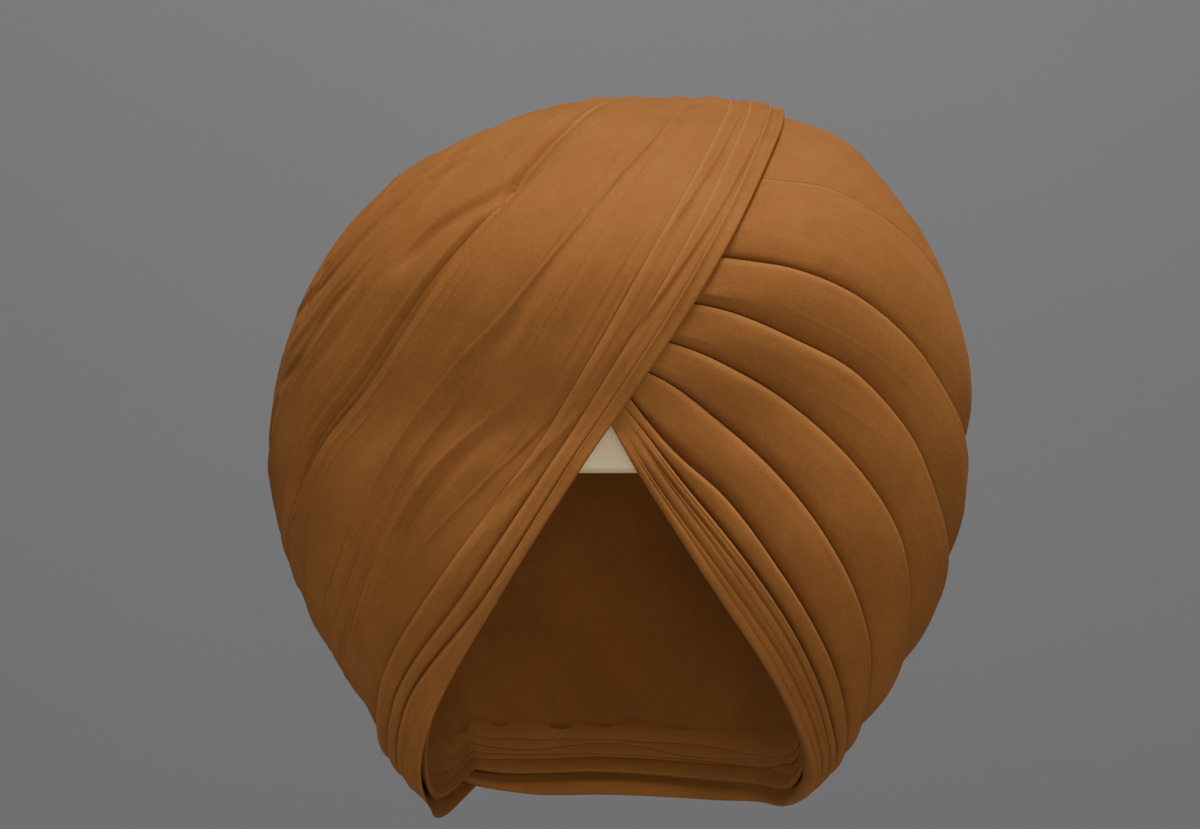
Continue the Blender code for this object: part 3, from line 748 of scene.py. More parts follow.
@dataclass
class SideFolds(ClothTurns):
    """The fanned folds of the far side and the wide turn over the crown above them."""

    names: tuple = ("brow", "temple", "upper_ear", "ear", "lower_ear", "inner", "edge")
    lip_radius: tuple = (0.0004, 0.0048, 0.0048, 0.0046, 0.0040, 0.0022, 0.0012)
    lip_shape: float = 0.60
    columns: tuple = (64, 56, 56, 56, 50, 26, 60)
    inner_columns: int = 5
    stations: int = 250
    coarse_middle: int = 15
    coarse_end: int = 5
    search_azimuths: tuple = (-9.0, 258.0, 535)
    dip_most: float = 0.0085
    dip_half_width: float = 0.020
    thin_dip: float = 0.0008
    thin_dip_run: float = 0.008
    crown_drop: float = 0.0008
    rise_share: float = 0.35
    roll_width: float = 0.0052
    roll_drop: float = 0.0060
    drop_limit: float = 0.80
    dive_from: float = 0.0260
    dive_to: float = 0.0004
    layer_gap: float = 0.0002
    least: float = 0.0010
    # Where across the lip the painted highlight is strongest, as a share of the lip.
    lip_highlight_middle: float = 0.3
    edge_radius: float = 0.0022
    pleat_lip: float = 0.035
    pleat_drift: float = 0.21
    pleats: tuple = (
        # share of the way across, how far it drifts, where in its drift it starts, fall's share, step
        (0.10, 0.015, 0.3, 0.08, 0.0005),
        (0.26, 0.040, 1.4, 0.14, 0.0015),
        (0.39, 0.035, 4.1, 0.08, 0.0007),
        (0.63, 0.050, 0.9, 0.20, 0.0015),
        (0.80, 0.030, 2.6, 0.10, 0.0006),
    )
    crown_columns: int = 110
    crown_inner_columns: int = 9
    crown_seed: int = 9
    corner: float = 4.0
    lip_gap: float = 0.0004
    slow: Rumple = Rumple(20, 0.110, 0.013, 0.0005)
    slow_shares: tuple = (0.6, 0.5)
    fine: Rumple = Rumple(40, 0.060, 0.0045, 0.0003)
    fine_shares: tuple = (0.25, 1.2)
    threads: Rumple = Rumple(60, 0.080, 0.010, 0.00012, 0.10)
    gather_run: float = 0.022

    def crossings(self, line: int, distances: Array) -> tuple:
        """Finds the azimuths where a line is at given distances past the last wraps' edge."""
        form = self.form
        azimuth = np.linspace(*self.search_azimuths)
        past = form.past_edge(from_angles(azimuth, form.folds.latitude(line, azimuth)))
        lowest = int(np.argmin(past))
        begins = lowest - int(np.argmax(past[lowest::-1] > form.tuck))
        ends = lowest + int(np.argmax(past[lowest:] > form.tuck))
        front = np.interp(distances, past[begins : lowest + 1][::-1], azimuth[begins : lowest + 1][::-1])
        back = np.interp(distances, past[lowest : ends + 1], azimuth[lowest : ends + 1])
        return front, back[::-1]

    def line(self, line: int) -> Array:
        """Gives a line's directions: the part's stations, read between at many more places."""
        form = self.form
        middle = -(form.dive_end + form.dive_start) / 2
        distances = np.array([form.tuck, form.tuck / 3, -form.dive_end, middle, -form.dive_start])
        front, back = self.crossings(line, distances)
        rest = np.linspace(front[-1], back[0], self.coarse_middle + 2)[1:-1]
        coarse = np.concatenate([front, rest, back])
        where = np.linspace(0, len(coarse) - 1, self.stations)
        azimuth = smooth_rows(np.arange(len(coarse)), coarse, where)
        return from_angles(azimuth, form.folds.latitude(line, azimuth))

    def top(self, d: Array, drop: Array, relief: Array) -> Array:
        """Gives the outer radius, which goes down at its ends to lie below the last wrap."""
        form = self.form
        depth = np.minimum(drop, self.drop_limit * (form.cover(d) + form.fold(d))) - relief
        below = form.edge_cover(d) + self.layer_gap
        dive = ease((form.past_edge(d) + self.dive_from) / (self.dive_from - self.dive_to))
        depth = depth + np.maximum(below - depth, 0) * dive
        return np.maximum(form.outline(d) - depth, self.seat(d) + self.least)

    def seat(self, d: Array) -> Array:
        """Gives the inner radius, over the inner turns."""
        return self.form.core(d) + self.form.core_gap

    def rumple(self, k: int, d: Array, u: Array, v: Array) -> Array:
        """Gives a fold's soft ripples, strongest beside the last wrap's edge, where it gathers.

        Of each pair of shares, the first holds everywhere and the second is added by gathering.
        """
        gather = np.exp(self.form.past_edge(d) / self.gather_run)
        slow = self.slow.other(k).relief(u, v)
        fine = self.fine.other(k).relief(u, v)
        threads = self.threads.other(k).relief(u, v)
        slow = slow * (self.slow_shares[0] + self.slow_shares[1] * gather)
        return slow + fine * (self.fine_shares[0] + self.fine_shares[1] * gather) + threads

    def build(self) -> None:
        """Builds the crown fold and the folds between each pair of lines."""
        form = self.form
        lines = [self.line(k) for k in range(form.folds.count)]
        downs = [unit(np.cross(np.gradient(line, axis=0), line)) for line in lines]
        widths = [form.arc(a, b) for a, b in zip(lines, lines[1:])]
        leans = [form.lean(widths[0], widths[0])]
        leans += [form.lean(above, below) for above, below in zip(widths, widths[1:])]
        leans.append(np.zeros_like(widths[0]))
        self.crown(lines[0], downs[0], leans[0])
        for k, name in enumerate(self.names):
            upper, lower, width = lines[k], lines[k + 1], widths[k]
            last = k == len(self.names) - 1
            lip_across, lip_drop = self.lip(width, np.full_like(width, self.lip_radius[k]), self.lip_shape)
            rest = np.linspace(0, 1, self.columns[k])[1:]
            across = self.across(lip_across, width[:, None], rest)
            share = across / width[:, None]
            along = run_length(lower * form.outline(lower)[:, None], False)
            u = np.broadcast_to(along[:, None], across.shape)
            drop = self.section(u, across, width[:, None], last)
            drop[:, : lip_drop.shape[1]] += lip_drop
            start = form.moved(upper, downs[k], np.full(len(upper), self.lip_gap))
            d = spread(start, lower, share)
            relief = self.rumple(k, d, u, across)
            outer = d * self.top(d, drop, relief)[..., None]
            tucked = form.moved(upper, downs[k], leans[k] + form.gap)
            reach = form.moved(lower, downs[k + 1], leans[k + 1])
            inner = spread(tucked, reach, np.linspace(0, 1, self.inner_columns))
            inner = inner * self.seat(inner)[..., None]
            # Painted highlight along each lip, which faces up to the lamps.
            lip_highlight_and_hem = self.lip_highlight_and_hem_mask(across, lip_across[:, -1:] * self.lip_highlight_middle)
            cloth = ClothPiece(name + "_fold", outer, inner, False, lip_highlight_and_hem)
            self.keep(cloth, "turban_cotton", ("inner_turns",), "folded")

    def section(self, u: Array, across: Array, width: Array, last: bool) -> Array:
        """Gives the drop below the outline across a fold.

        The back rises from the lip over about its first third, and falls with the square of the
        way from there to the next lip, where it rolls under. The last fold has fine pleats and a
        round edge instead. The pleats' lines drift from side to side along it.
        """
        share = across / width
        rise = self.crown_drop * width / (width + self.dip_half_width)
        drop = rise * np.clip(1 - share / self.rise_share, 0, 1) ** 2
        if last:
            for middle, drift, begin, run, step in self.pleats:
                line = middle + drift * np.sin(2 * np.pi * u / self.pleat_drift + begin)
                fall = np.clip(1 - (line - share) / run, 0, 1) ** 2
                lip = 1 - ease((share - line) / self.pleat_lip)
                drop = drop + step * np.where(share < line, fall, lip)
            return drop + self.edge_radius * rolled(across, width, self.edge_radius, self.edge_roundness)
        dip = self.dip_most * width / (width + self.dip_half_width)
        roll_width = np.minimum(self.roll_width, self.narrow_share * width)
        roll_drop = self.roll_drop * roll_width / self.roll_width
        under = roll_drop * rolled(across, width, roll_width, self.roll_roundness)
        return drop + dip * self.falling(share) + under

    def crown(self, line: Array, down: Array, lean: Array) -> None:
        """Builds the wide turn from below the last wrap over the crown to the thin edge.

        Its two edges would meet at a point at both ends. There the upper one is moved away, so
        that each end keeps some width.
        """
        form = self.form
        ends = form.wraps.bearing(line[[0, -1]])
        bearing = np.linspace(ends[0], ends[1] - 360, len(line))
        edge = form.wraps.around(WrapLine.OPENING_EDGE, bearing)
        top = form.wraps.direction(bearing, edge + np.degrees(form.tuck / form.outline(line[0])))
        clear = unit(np.cross(line, np.gradient(line, axis=0)))
        coarse_step = (len(line) - 1) / (self.coarse_middle + 2 * self.coarse_end - 1)
        place = np.arange(len(line))
        near_end = np.minimum(place, place[::-1]) / coarse_step
        opened = np.tan(np.radians(self.corner)) * np.clip(1 - near_end, 0, 1)
        top = unit(top + opened[:, None] * clear)
        width = form.arc(top, line)[:, None]
        share = np.linspace(0, 1, self.crown_columns)
        d = spread(top, line, share)
        across = share * width
        thin = np.clip((across - width + self.thin_dip_run) / self.thin_dip_run, 0, 1)
        along = run_length(line * form.outline(line)[:, None], False)
        u = np.broadcast_to(along[:, None], across.shape)
        relief = self.rumple(self.crown_seed, d, u, across)
        outer = d * self.top(d, self.thin_dip * thin**2, relief)[..., None]
        inner = spread(top, form.moved(line, down, lean), np.linspace(0, 1, self.crown_inner_columns))
        inner = inner * self.seat(inner)[..., None]
        cloth = ClothPiece("crown_fold", outer, inner, False, np.zeros(across.shape))
        self.keep(cloth, "turban_cotton", ("inner_turns",), "folded")


@dataclass
class LastWraps(ClothTurns):
    """The last wrap over the front, its three edge pleats and the turn over the near shoulder."""

    stations: int = 340
    names: tuple = ("last_wrap", "outer_pleat", "middle_pleat", "edge_pleat")
    order: tuple = (
        WrapLine.SHOULDER,
        WrapLine.THIRD,
        WrapLine.SECOND,
        WrapLine.FIRST,
        WrapLine.OPENING_EDGE,
    )
    columns: tuple = (190, 34, 34, 40)
    inner_columns: int = 9
    lean_part: float = 0.6
    lip_least: float = 0.00012
    lip_more: float = 0.0009
    dip_most: float = 0.0070
    dip_half_width: float = 0.020
    roll_width: float = 0.0024
    roll_drop: float = 0.0016
    drop_limit: float = 0.72
    edge_radius: float = 0.0016
    edge_crowding: float = 0.9
    groove_least: float = 0.36
    round_length: float = 0.80
    shoulder_rows: int = 150
    smooth_share: float = 0.55
    seam_ridge: float = 0.0010
    seam_ridge_width: float = 0.0011
    seam_hollow: float = 0.0034
    seam_hollow_width: float = 0.0034
    seam_hollow_away: float = 0.6
    seam_from: tuple = (-75.0, -45.0)
    seam_to: tuple = (40.0, 90.0)
    least: float = 0.0009
    lip_gap: float = 0.00010
    rumples: tuple = (
        Rumple(100, 0.30, 0.0105, 0.00070),
        Rumple(101, 0.16, 0.0046, 0.00042),
        Rumple(102, 0.26, 0.0120, 0.00036, 0.06),
        Rumple(104, 0.40, 0.0080, 0.00030, 0.05),
    )
    gather: Rumple = Rumple(103, 0.15, 0.0034, 0.00055)
    gather_run: float = 0.020

    def depth_share(self, d: Array) -> Array:
        """Gives how deep the pleats' grooves are, from 0 where they only show as drawn creases."""
        groove = self.form.wraps.around(WrapLine.GROOVE, self.form.wraps.bearing(d))
        return np.clip((groove - self.groove_least) / (1 - self.groove_least), 0, 1)

    def line(self, line: WrapLine) -> tuple:
        """Gives a line's directions and the way from each towards the opening."""
        wraps = self.form.wraps
        bearing = np.arange(self.stations) * 360 / self.stations
        d = wraps.direction(bearing, wraps.around(line, bearing))
        return d, unit(-wraps.axis + (d @ wraps.axis)[:, None] * d)

    def top(self, d: Array, drop: Array, relief: Array) -> Array:
        """Gives the outer radius: the outline less the drop, with the creases on it."""
        form = self.form
        cover = form.edge_cover(d)
        creased = sum(crease.relief(form, d) for crease in CREASES.values()) + self.seam(d)
        depth = np.minimum(drop, self.drop_limit * cover) - relief - creased
        return form.outline(d) - np.minimum(depth, cover - self.least)

    def seam(self, d: Array) -> Array:
        """Gives the relief where the shoulder turn ends: a raised edge, and a hollow before it."""
        wraps = self.form.wraps
        bearing = wraps.bearing(d)
        above = np.radians(wraps.height(d) - wraps.around(WrapLine.SHOULDER, bearing))
        away = above * self.form.outline(d)
        ridge = self.seam_ridge * bell((away - self.seam_ridge_width) / self.seam_ridge_width)
        beside = (away + self.seam_hollow_away * self.seam_hollow_width) / self.seam_hollow_width
        return (ridge - self.seam_hollow * bell(beside)) * between(bearing, self.seam_from, self.seam_to)

    def seat(self, d: Array) -> Array:
        """Gives the inner radius of the last wraps."""
        return self.form.outline(d) - self.form.edge_cover(d) + self.form.gap / 2

    def rumple(self, d: Array, v: Array) -> Array:
        """Gives the folds that run along the wraps, at a distance v from the shoulder line.

        They are broad, fine, and two sets of thin lines, with more fine ones gathered beside the
        opening. One field covers all the wraps, so that a fold goes on from one to the next.
        """
        form = self.form
        u = (form.wraps.bearing(d) % 360) / 360 * self.round_length
        total = np.zeros(d.shape[:-1])
        for fold in self.rumples:
            total = total + fold.relief(u, v, self.round_length)
        near_edge = np.exp(-np.clip(form.past_edge(d), 0, None) / self.gather_run)
        return total + self.gather.relief(u, v, self.round_length) * near_edge

    def build(self) -> None:
        """Builds the wraps from the shoulder line to the opening, and the shoulder turn."""
        form = self.form
        lines = [self.line(line) for line in self.order]
        widths = [form.arc(a[0], b[0]) for a, b in zip(lines, lines[1:])]
        leans = [np.full(self.stations, form.lean_most * self.lean_part)]
        leans += [self.lean_part * form.lean(above, below) for above, below in zip(widths, widths[1:])]
        leans.append(np.full(self.stations, -self.edge_radius / 2))
        passed = 0.0
        for k, name in enumerate(self.names):
            (a, a_away), (b, b_away) = lines[k], lines[k + 1]
            width = widths[k][:, None]
            deep = self.depth_share(b)
            last = k == len(self.names) - 1
            lip_across, lip_drop = self.lip(widths[k], self.lip_least + self.lip_more * deep)
            rest = np.linspace(0, 1, self.columns[k])[1:]
            if last:
                rest = np.sin(rest * np.pi / 2) ** self.edge_crowding
            across = self.across(lip_across, width, rest)
            share = across / width
            drop = self.section(across, width, deep[:, None], last)
            drop[:, : lip_drop.shape[1]] += lip_drop
            start = form.moved(a, a_away, np.full(self.stations, self.lip_gap))
            d = spread(start, b, share)
            relief = self.rumple(d, passed + share * width.mean())
            passed += width.mean()
            outer = d * self.top(d, drop, relief)[..., None]
            tucked = form.moved(a, a_away, leans[k] + form.gap)
            reach = form.moved(b, b_away, leans[k + 1])
            inner = spread(tucked, reach, np.linspace(0, 1, self.inner_columns))
            inner = inner * self.seat(inner)[..., None]
            # Painted highlight along the top of each lip.
            lip_highlight_and_hem = self.lip_highlight_and_hem_mask(across, lip_across[:, -1:])
            cloth = ClothPiece(name, outer, inner, True, lip_highlight_and_hem)
            self.keep(cloth, "turban_cotton", ("inner_turns", "crown_fold_cloth"), "folded")
        self.shoulder(leans[0])

    def section(self, across: Array, width: Array, deep: Array, last: bool) -> Array:
        """Gives the drop below the outline across a wrap.

        The back falls from its crest to the next lip, where it rolls under, both as deep as the
        groove there. The last pleat has a round edge instead.
        """
        if last:
            radius = self.edge_radius * (0.5 + 0.5 * deep)
            return radius * rolled(across, width, radius, self.edge_roundness)
        dip = self.dip_most * width / (width + self.dip_half_width) * deep
        roll_width = np.minimum(self.roll_width, self.narrow_share * width)
        under = self.roll_drop * deep * rolled(across, width, roll_width, self.roll_roundness)
        return dip * self.falling(across / width) + under

    def shoulder(self, lean: Array) -> None:
        """Builds the turn over the near side, from the shoulder line to a point on the axis.

        Its places on the cloth are those on the plane across the axis.
        """
        form = self.form
        rim, away = self.line(WrapLine.SHOULDER)
        axis = np.tile(form.wraps.axis, (self.stations, 1))
        share = np.linspace(0, 1, self.shoulder_rows + 1)[:-1]
        d = spread(rim, axis, share)
        from_rim = share * form.arc(rim, axis)[:, None]
        relief = self.rumple(d, -from_rim) * ease((1 - share) / self.smooth_share)
        outer = d * self.top(d, np.zeros_like(from_rim), relief)[..., None]
        inner_share = np.linspace(0, 1, self.inner_columns)[:-1]
        inner = spread(form.moved(rim, away, lean), axis, inner_share)
        inner = inner * self.seat(inner)[..., None]
        pole = form.wraps.axis[None]
        peak = pole * self.top(pole, np.zeros(1), np.zeros(1))[:, None]
        points, cells, caps = capped(outer, inner, peak, pole * self.seat(pole)[:, None])
        plane = np.stack([points @ form.wraps.front, points @ form.wraps.ear], axis=1)
        places = plane[np.concatenate([cells.ravel(), caps.ravel()])]
        faces = cells.tolist() + caps.tolist()
        piece = mesh_object("shoulder_turn_cloth", points, faces, places, np.zeros(len(points)))
        across = round(2 * float(form.arc(rim, axis).mean()), 3)
        flat = (across, across)
        self.declare("shoulder_turn", piece, "turban_cotton", flat, ("inner_turns",), "stretched")


@dataclass
class InnerTurns(ClothTurns):
    """The layers below the ones that show, wound one over the other, open for the head."""

    layers: int = 5
    stations: int = 200
    rows: int = 34
    row_power: float = 1.1
    top_latitude: float = 89.0
    rim_inset: float = 0.0075
    step_in: float = 0.0011
    outer_inset: float = 0.0035
    layer_gap: float = 0.0005
    round_edge: float = 0.0012
    round_fall: float = 6.0
    edge_bearings: tuple = (-8, 128, 137)
    folds_to: float = 235.0
    girth: float = 0.69
    girth_radius: float = 0.11
    rise_radius: float = 0.12
    cloth_depth: float = 0.25
    strip_width: float = 0.22
    wave: Rumple = Rumple(200, 0.05, 1.0, 0.0016)
    broad: Rumple = Rumple(220, 0.12, 0.013, 0.0009)
    broad_drift: float = 0.10
    fine: Rumple = Rumple(230, 0.09, 0.005, 0.0004)

    def rim(self, azimuth: Array) -> Array:
        """Gives the latitude of the turban's lower rim at each azimuth."""
        form = self.form
        bearing = np.linspace(*self.edge_bearings)
        edge = form.wraps.direction(bearing, form.wraps.around(WrapLine.OPENING_EDGE, bearing))
        edge_azimuth = np.degrees(np.arctan2(edge[:, 0], -edge[:, 1]))
        order = np.argsort(edge_azimuth)
        edge_latitude = np.degrees(np.arcsin(edge[:, 2]))
        near = np.interp(azimuth, edge_azimuth[order], edge_latitude[order], left=90, right=90)
        unwound = np.where(azimuth < -90, azimuth + 360, azimuth)
        folded = (unwound >= 0) & (unwound <= self.folds_to)
        far = np.where(folded, form.folds.latitude(form.folds.count - 1, unwound), 90)
        return np.minimum(near, far)

    def lining(self, azimuth: Array, latitude: Array) -> Array:
        """Gives how far the soft folds of the innermost layer leave it clear of the head."""
        u = np.broadcast_to(np.radians(azimuth + 180)[:, None] * self.girth_radius, latitude.shape)
        v = np.radians(latitude + 90) * self.rise_radius
        drift = self.broad_drift * np.sin(np.radians(azimuth))[:, None]
        soft = self.broad.relief(u, v + drift, self.girth) + self.fine.relief(u, v, self.girth)
        return np.maximum(soft, 0)

    def sheets(self, layer: int, azimuth: Array, edge: Array) -> tuple:
        """Gives one layer's outer and inner points, which close in on each other at the rim.

        Args:
            layer: Its number, from the head outwards.
            azimuth: The azimuth of each station.
            edge: The rim's latitude there.

        Returns:
            Both sheets' points, a row for each station from the rim up.
        """
        form = self.form
        inset = self.outer_inset
        if layer < self.layers - 1:
            around = np.radians(azimuth + 180) * self.girth_radius
            wave = self.wave.other(layer).relief(around, 0 * azimuth, self.girth)
            inset = self.rim_inset + self.step_in * (self.layers - 1 - layer) + wave
        start = edge + np.degrees(inset / form.outline(from_angles(azimuth, edge)))
        rows = np.linspace(0, 1, self.rows + 1)[:-1] ** self.row_power
        latitude = start[:, None] + (self.top_latitude - start[:, None]) * rows
        d = from_angles(azimuth[:, None], latitude)
        head = form.head.radius(d)
        depth = form.core(d) - head
        clear = self.layer_gap if layer else self.lining(azimuth, latitude)
        inside = head + depth * (layer / self.layers) + clear
        outside = head + depth * ((layer + 1) / self.layers)
        edge_round = np.exp(-np.linspace(0, self.round_fall, self.rows)) * self.round_edge
        return d * (outside - edge_round)[..., None], d * (inside + edge_round)[..., None]

    def shell(self, layer: int, outer: Array, inner: Array) -> bpy.types.Object:
        """Closes one layer over the crown, with its places on the cloth wound round the head."""
        peak = outer[:, -1].mean(axis=0) * np.array([0, 0, 1])
        well = inner[:, -1].mean(axis=0) * np.array([0, 0, 1])
        points, cells, caps = capped(outer, inner, peak[None], well[None])
        turn = np.arange(self.stations + 1)[:, None] * self.girth / self.stations
        turn = turn + np.zeros((1, 2 * self.rows))
        fall = np.linspace(self.cloth_depth, 0, self.rows)
        rise = np.concatenate([fall, np.linspace(0, self.cloth_depth, self.rows)])
        places = quads_of(np.stack([turn, np.broadcast_to(rise, turn.shape)], axis=-1))
        places = np.concatenate([places.reshape(-1, 2), points[caps.ravel()][:, :2]])
        faces = cells.tolist() + caps.tolist()
        return mesh_object(f"layer_{layer}", points, faces, places, np.zeros(len(points)))

    def build(self) -> None:
        """Builds every layer as a closed shell, and joins them as one piece."""
        azimuth = -180 + np.arange(self.stations) * 360 / self.stations
        edge = self.rim(azimuth)
        pieces = [self.shell(layer, *self.sheets(layer, azimuth, edge)) for layer in range(self.layers)]
        piece = join_pieces("inner_turns_cloth", pieces)
        area = sum(polygon.area for polygon in piece.data.polygons) / 2
        flat = (self.strip_width, round(area / self.strip_width, 2))
        self.declare("inner_turns", piece, "turban_cotton", flat, ("under_band_cloth",), "folded")


def join_pieces(name: str, pieces: list) -> bpy.types.Object:
    """Joins meshes with the same UV map and attribute into one object.

    Args:
        name: The joined object's name.
        pieces: The objects, which go.

    Returns:
        The joined object.
    """
    points, faces, places, lip_highlight_and_hem = [], [], [], []
    first = 0
    for piece in pieces:
        mesh = piece.data
        at = np.zeros(len(mesh.vertices) * 3, np.float32)
        mesh.vertices.foreach_get("co", at)
        uv = np.zeros(len(mesh.loops) * 2, np.float32)
        mesh.uv_layers["cloth"].data.foreach_get("uv", uv)
        points.append(at.reshape(-1, 3))
        places.append(uv.reshape(-1, 2))
        lip_highlight_and_hem.append(np.zeros(len(mesh.vertices)))
        faces += [[first + i for i in polygon.vertices] for polygon in mesh.polygons]
        first += len(mesh.vertices)
        bpy.data.objects.remove(piece)
    places = np.concatenate(places)
    return mesh_object(name, np.concatenate(points), faces, places, np.concatenate(lip_highlight_and_hem))


@dataclass
class UnderBand(ClothTurns):
    """The plain band below the turban, with a narrow rolled hem along its lower edge."""

    height: float = 0.055
    thickness: float = 0.0013
    hem: float = 0.0016
    hem_swell: float = 0.0004
    stations: int = 360
    rows: int = 60
    row_power: float = 1.3
    girth_radius: float = 0.089
    inset: float = 0.0004
    highlight_and_hem_width: float = 0.0011
    soft: Rumple = Rumple(300, 0.030, 0.020, 0.00035)
    fine: Rumple = Rumple(301, 0.008, 0.015, 0.00012)

    def build(self) -> None:
        """Builds the band round the head, as a thin sheet that thickens in its hem."""
        form = self.form
        azimuth = np.arange(self.stations) * 360 / self.stations
        flat = from_angles(azimuth, np.zeros_like(azimuth))
        level = form.head.radius(flat)[:, None]
        height = np.linspace(0, 1, self.rows) ** self.row_power * self.height
        reach = level * np.sqrt(1 - (height / form.head.top) ** 2) - form.core_gap
        u = np.broadcast_to(np.radians(azimuth)[:, None] * self.girth_radius, reach.shape)
        v = np.broadcast_to(height, reach.shape)
        length = 2 * np.pi * self.girth_radius
        folds = self.soft.relief(u, v, length)
        ripples = self.fine.relief(u, v, length)
        from_middle = (height - self.hem / 2) / (self.hem / 2)
        roll = self.hem_swell * np.sqrt(np.clip(1 - from_middle**2, 0, 1))
        outside = reach - self.inset + folds + ripples + roll
        up = height[:, None] * np.array([0, 0, 1.0])
        outer = flat[:, None] * outside[..., None] + up
        inner = flat[:, None] * (outside - roll - self.thickness)[..., None] + up
        lip_highlight_and_hem = np.broadcast_to(self.lip_highlight_and_hem_mask(height, 0.0), reach.shape)
        cloth = ClothPiece("under_band", outer, inner, True, lip_highlight_and_hem)
        self.keep(cloth, "band_gauze", ("inner_turns",), "stretched")


# Materials


class Shade:
    """One number in a material, which arithmetic extends with Math nodes."""

    def __init__(self, paint: "Paint", socket: bpy.types.NodeSocket) -> None:
        """Wraps a node's output socket."""
        self.paint = paint
        self.socket = socket

    def math(self, operation: str, *values: Any) -> "Shade":
        """Adds a Math node on the given values."""
        node = self.paint.node("ShaderNodeMath", {"operation": operation}, dict(enumerate(values)))
        return Shade(self.paint, node.outputs[0])

    def __add__(self, other: Any) -> "Shade":
        """Adds."""
        return self.math("ADD", self, other)

    __radd__ = __add__

    def __sub__(self, other: Any) -> "Shade":
        """Subtracts."""
        return self.math("SUBTRACT", self, other)

    def __rsub__(self, other: Any) -> "Shade":
        """Subtracts this from a number."""
        return self.math("SUBTRACT", other, self)

    def __mul__(self, other: Any) -> "Shade":
        """Multiplies."""
        return self.math("MULTIPLY", self, other)

    __rmul__ = __mul__


class Paint:
    """The node tree of one material, from its inputs to its surface."""

    thread_roughness = 0.6

    def __init__(self, name: str) -> None:
        """Makes an empty material."""
        self.material = bpy.data.materials.new(name)
        self.material.use_nodes = True
        self.tree = self.material.node_tree
        self.tree.nodes.clear()

    def node(
        self, kind: str, settings: Optional[dict] = None, sockets: Optional[dict] = None
    ) -> bpy.types.Node:
        """Adds a node of any type.

        Args:
            kind: The node's type.
            settings: Its properties, and a ramp's stops as position and colour, set first.
            sockets: Values or links of its inputs, by name or index.

        Returns:
            The node.
        """
        node = self.tree.nodes.new(kind)
        for key, value in (settings or {}).items():
            if key == "stops":
                for element, (place, colour) in zip(node.color_ramp.elements, value):
                    element.position, element.color = place, colour
            else:
                setattr(node, key, value)
        for key, value in (sockets or {}).items():
            target = node.inputs[key]
            if isinstance(value, Shade):
                self.tree.links.new(value.socket, target)
            elif isinstance(value, bpy.types.NodeSocket):
                self.tree.links.new(value, target)
            else:
                target.default_value = value
        return node

    def cloth(self) -> bpy.types.NodeSocket:
        """Gives where a point lies on the cloth, in metres."""
        return self.node("ShaderNodeUVMap", {"uv_map": "cloth"}).outputs[0]

    def place(self) -> bpy.types.NodeSocket:
        """Gives where a point lies in the object, in metres."""
        return self.node("ShaderNodeTexCoord").outputs["Object"]

    def lip_highlight_and_hem(self) -> Shade:
        """Gives the share of painted highlight along the lips, which on the band marks the hem, from 0 to
        1.
        """
        return Shade(self, self.node("ShaderNodeAttribute", {"attribute_name": "lip_highlight_and_hem"}).outputs["Fac"])

    def noise(self, where: bpy.types.NodeSocket, scale: float, detail: float, roughness: float) -> Shade:
        """Adds a noise texture and gives its value."""
        sockets = {"Vector": where, "Scale": scale, "Detail": detail, "Roughness": roughness}
        return Shade(self, self.node("ShaderNodeTexNoise", None, sockets).outputs["Fac"])

    def threads(self, where: bpy.types.NodeSocket, scale: tuple, detail: float) -> Shade:
        """Adds a noise with a scale for each direction, which gives uneven threads."""
        node = self.node("ShaderNodeVectorMath", {"operation": "MULTIPLY"}, {0: where, 1: scale})
        return self.noise(node.outputs[0], 1.0, detail, self.thread_roughness)

    def raised(self, relief: Shade, strength: float, depth: float) -> bpy.types.NodeSocket:
        """Gives the normal of a surface with a relief on it."""
        sockets = {"Strength": strength, "Distance": depth, "Height": relief}
        return self.node("ShaderNodeBump", None, sockets).outputs[0]

    def mix(self, share: Any, a: Any, b: Any) -> bpy.types.NodeSocket:
        """Mixes two colours by a share, which is kept from 0 to 1."""
        node = self.node("ShaderNodeMix", {"data_type": "RGBA"}, {0: share, 6: a, 7: b})
        return node.outputs[2]

    def finish(self, sockets: dict) -> bpy.types.Material:
        """Adds the surface shader with these sockets and gives the material."""
        shader = self.node("ShaderNodeBsdfPrincipled", None, sockets)
        self.node("ShaderNodeOutputMaterial", None, {"Surface": shader.outputs[0]})
        return self.material


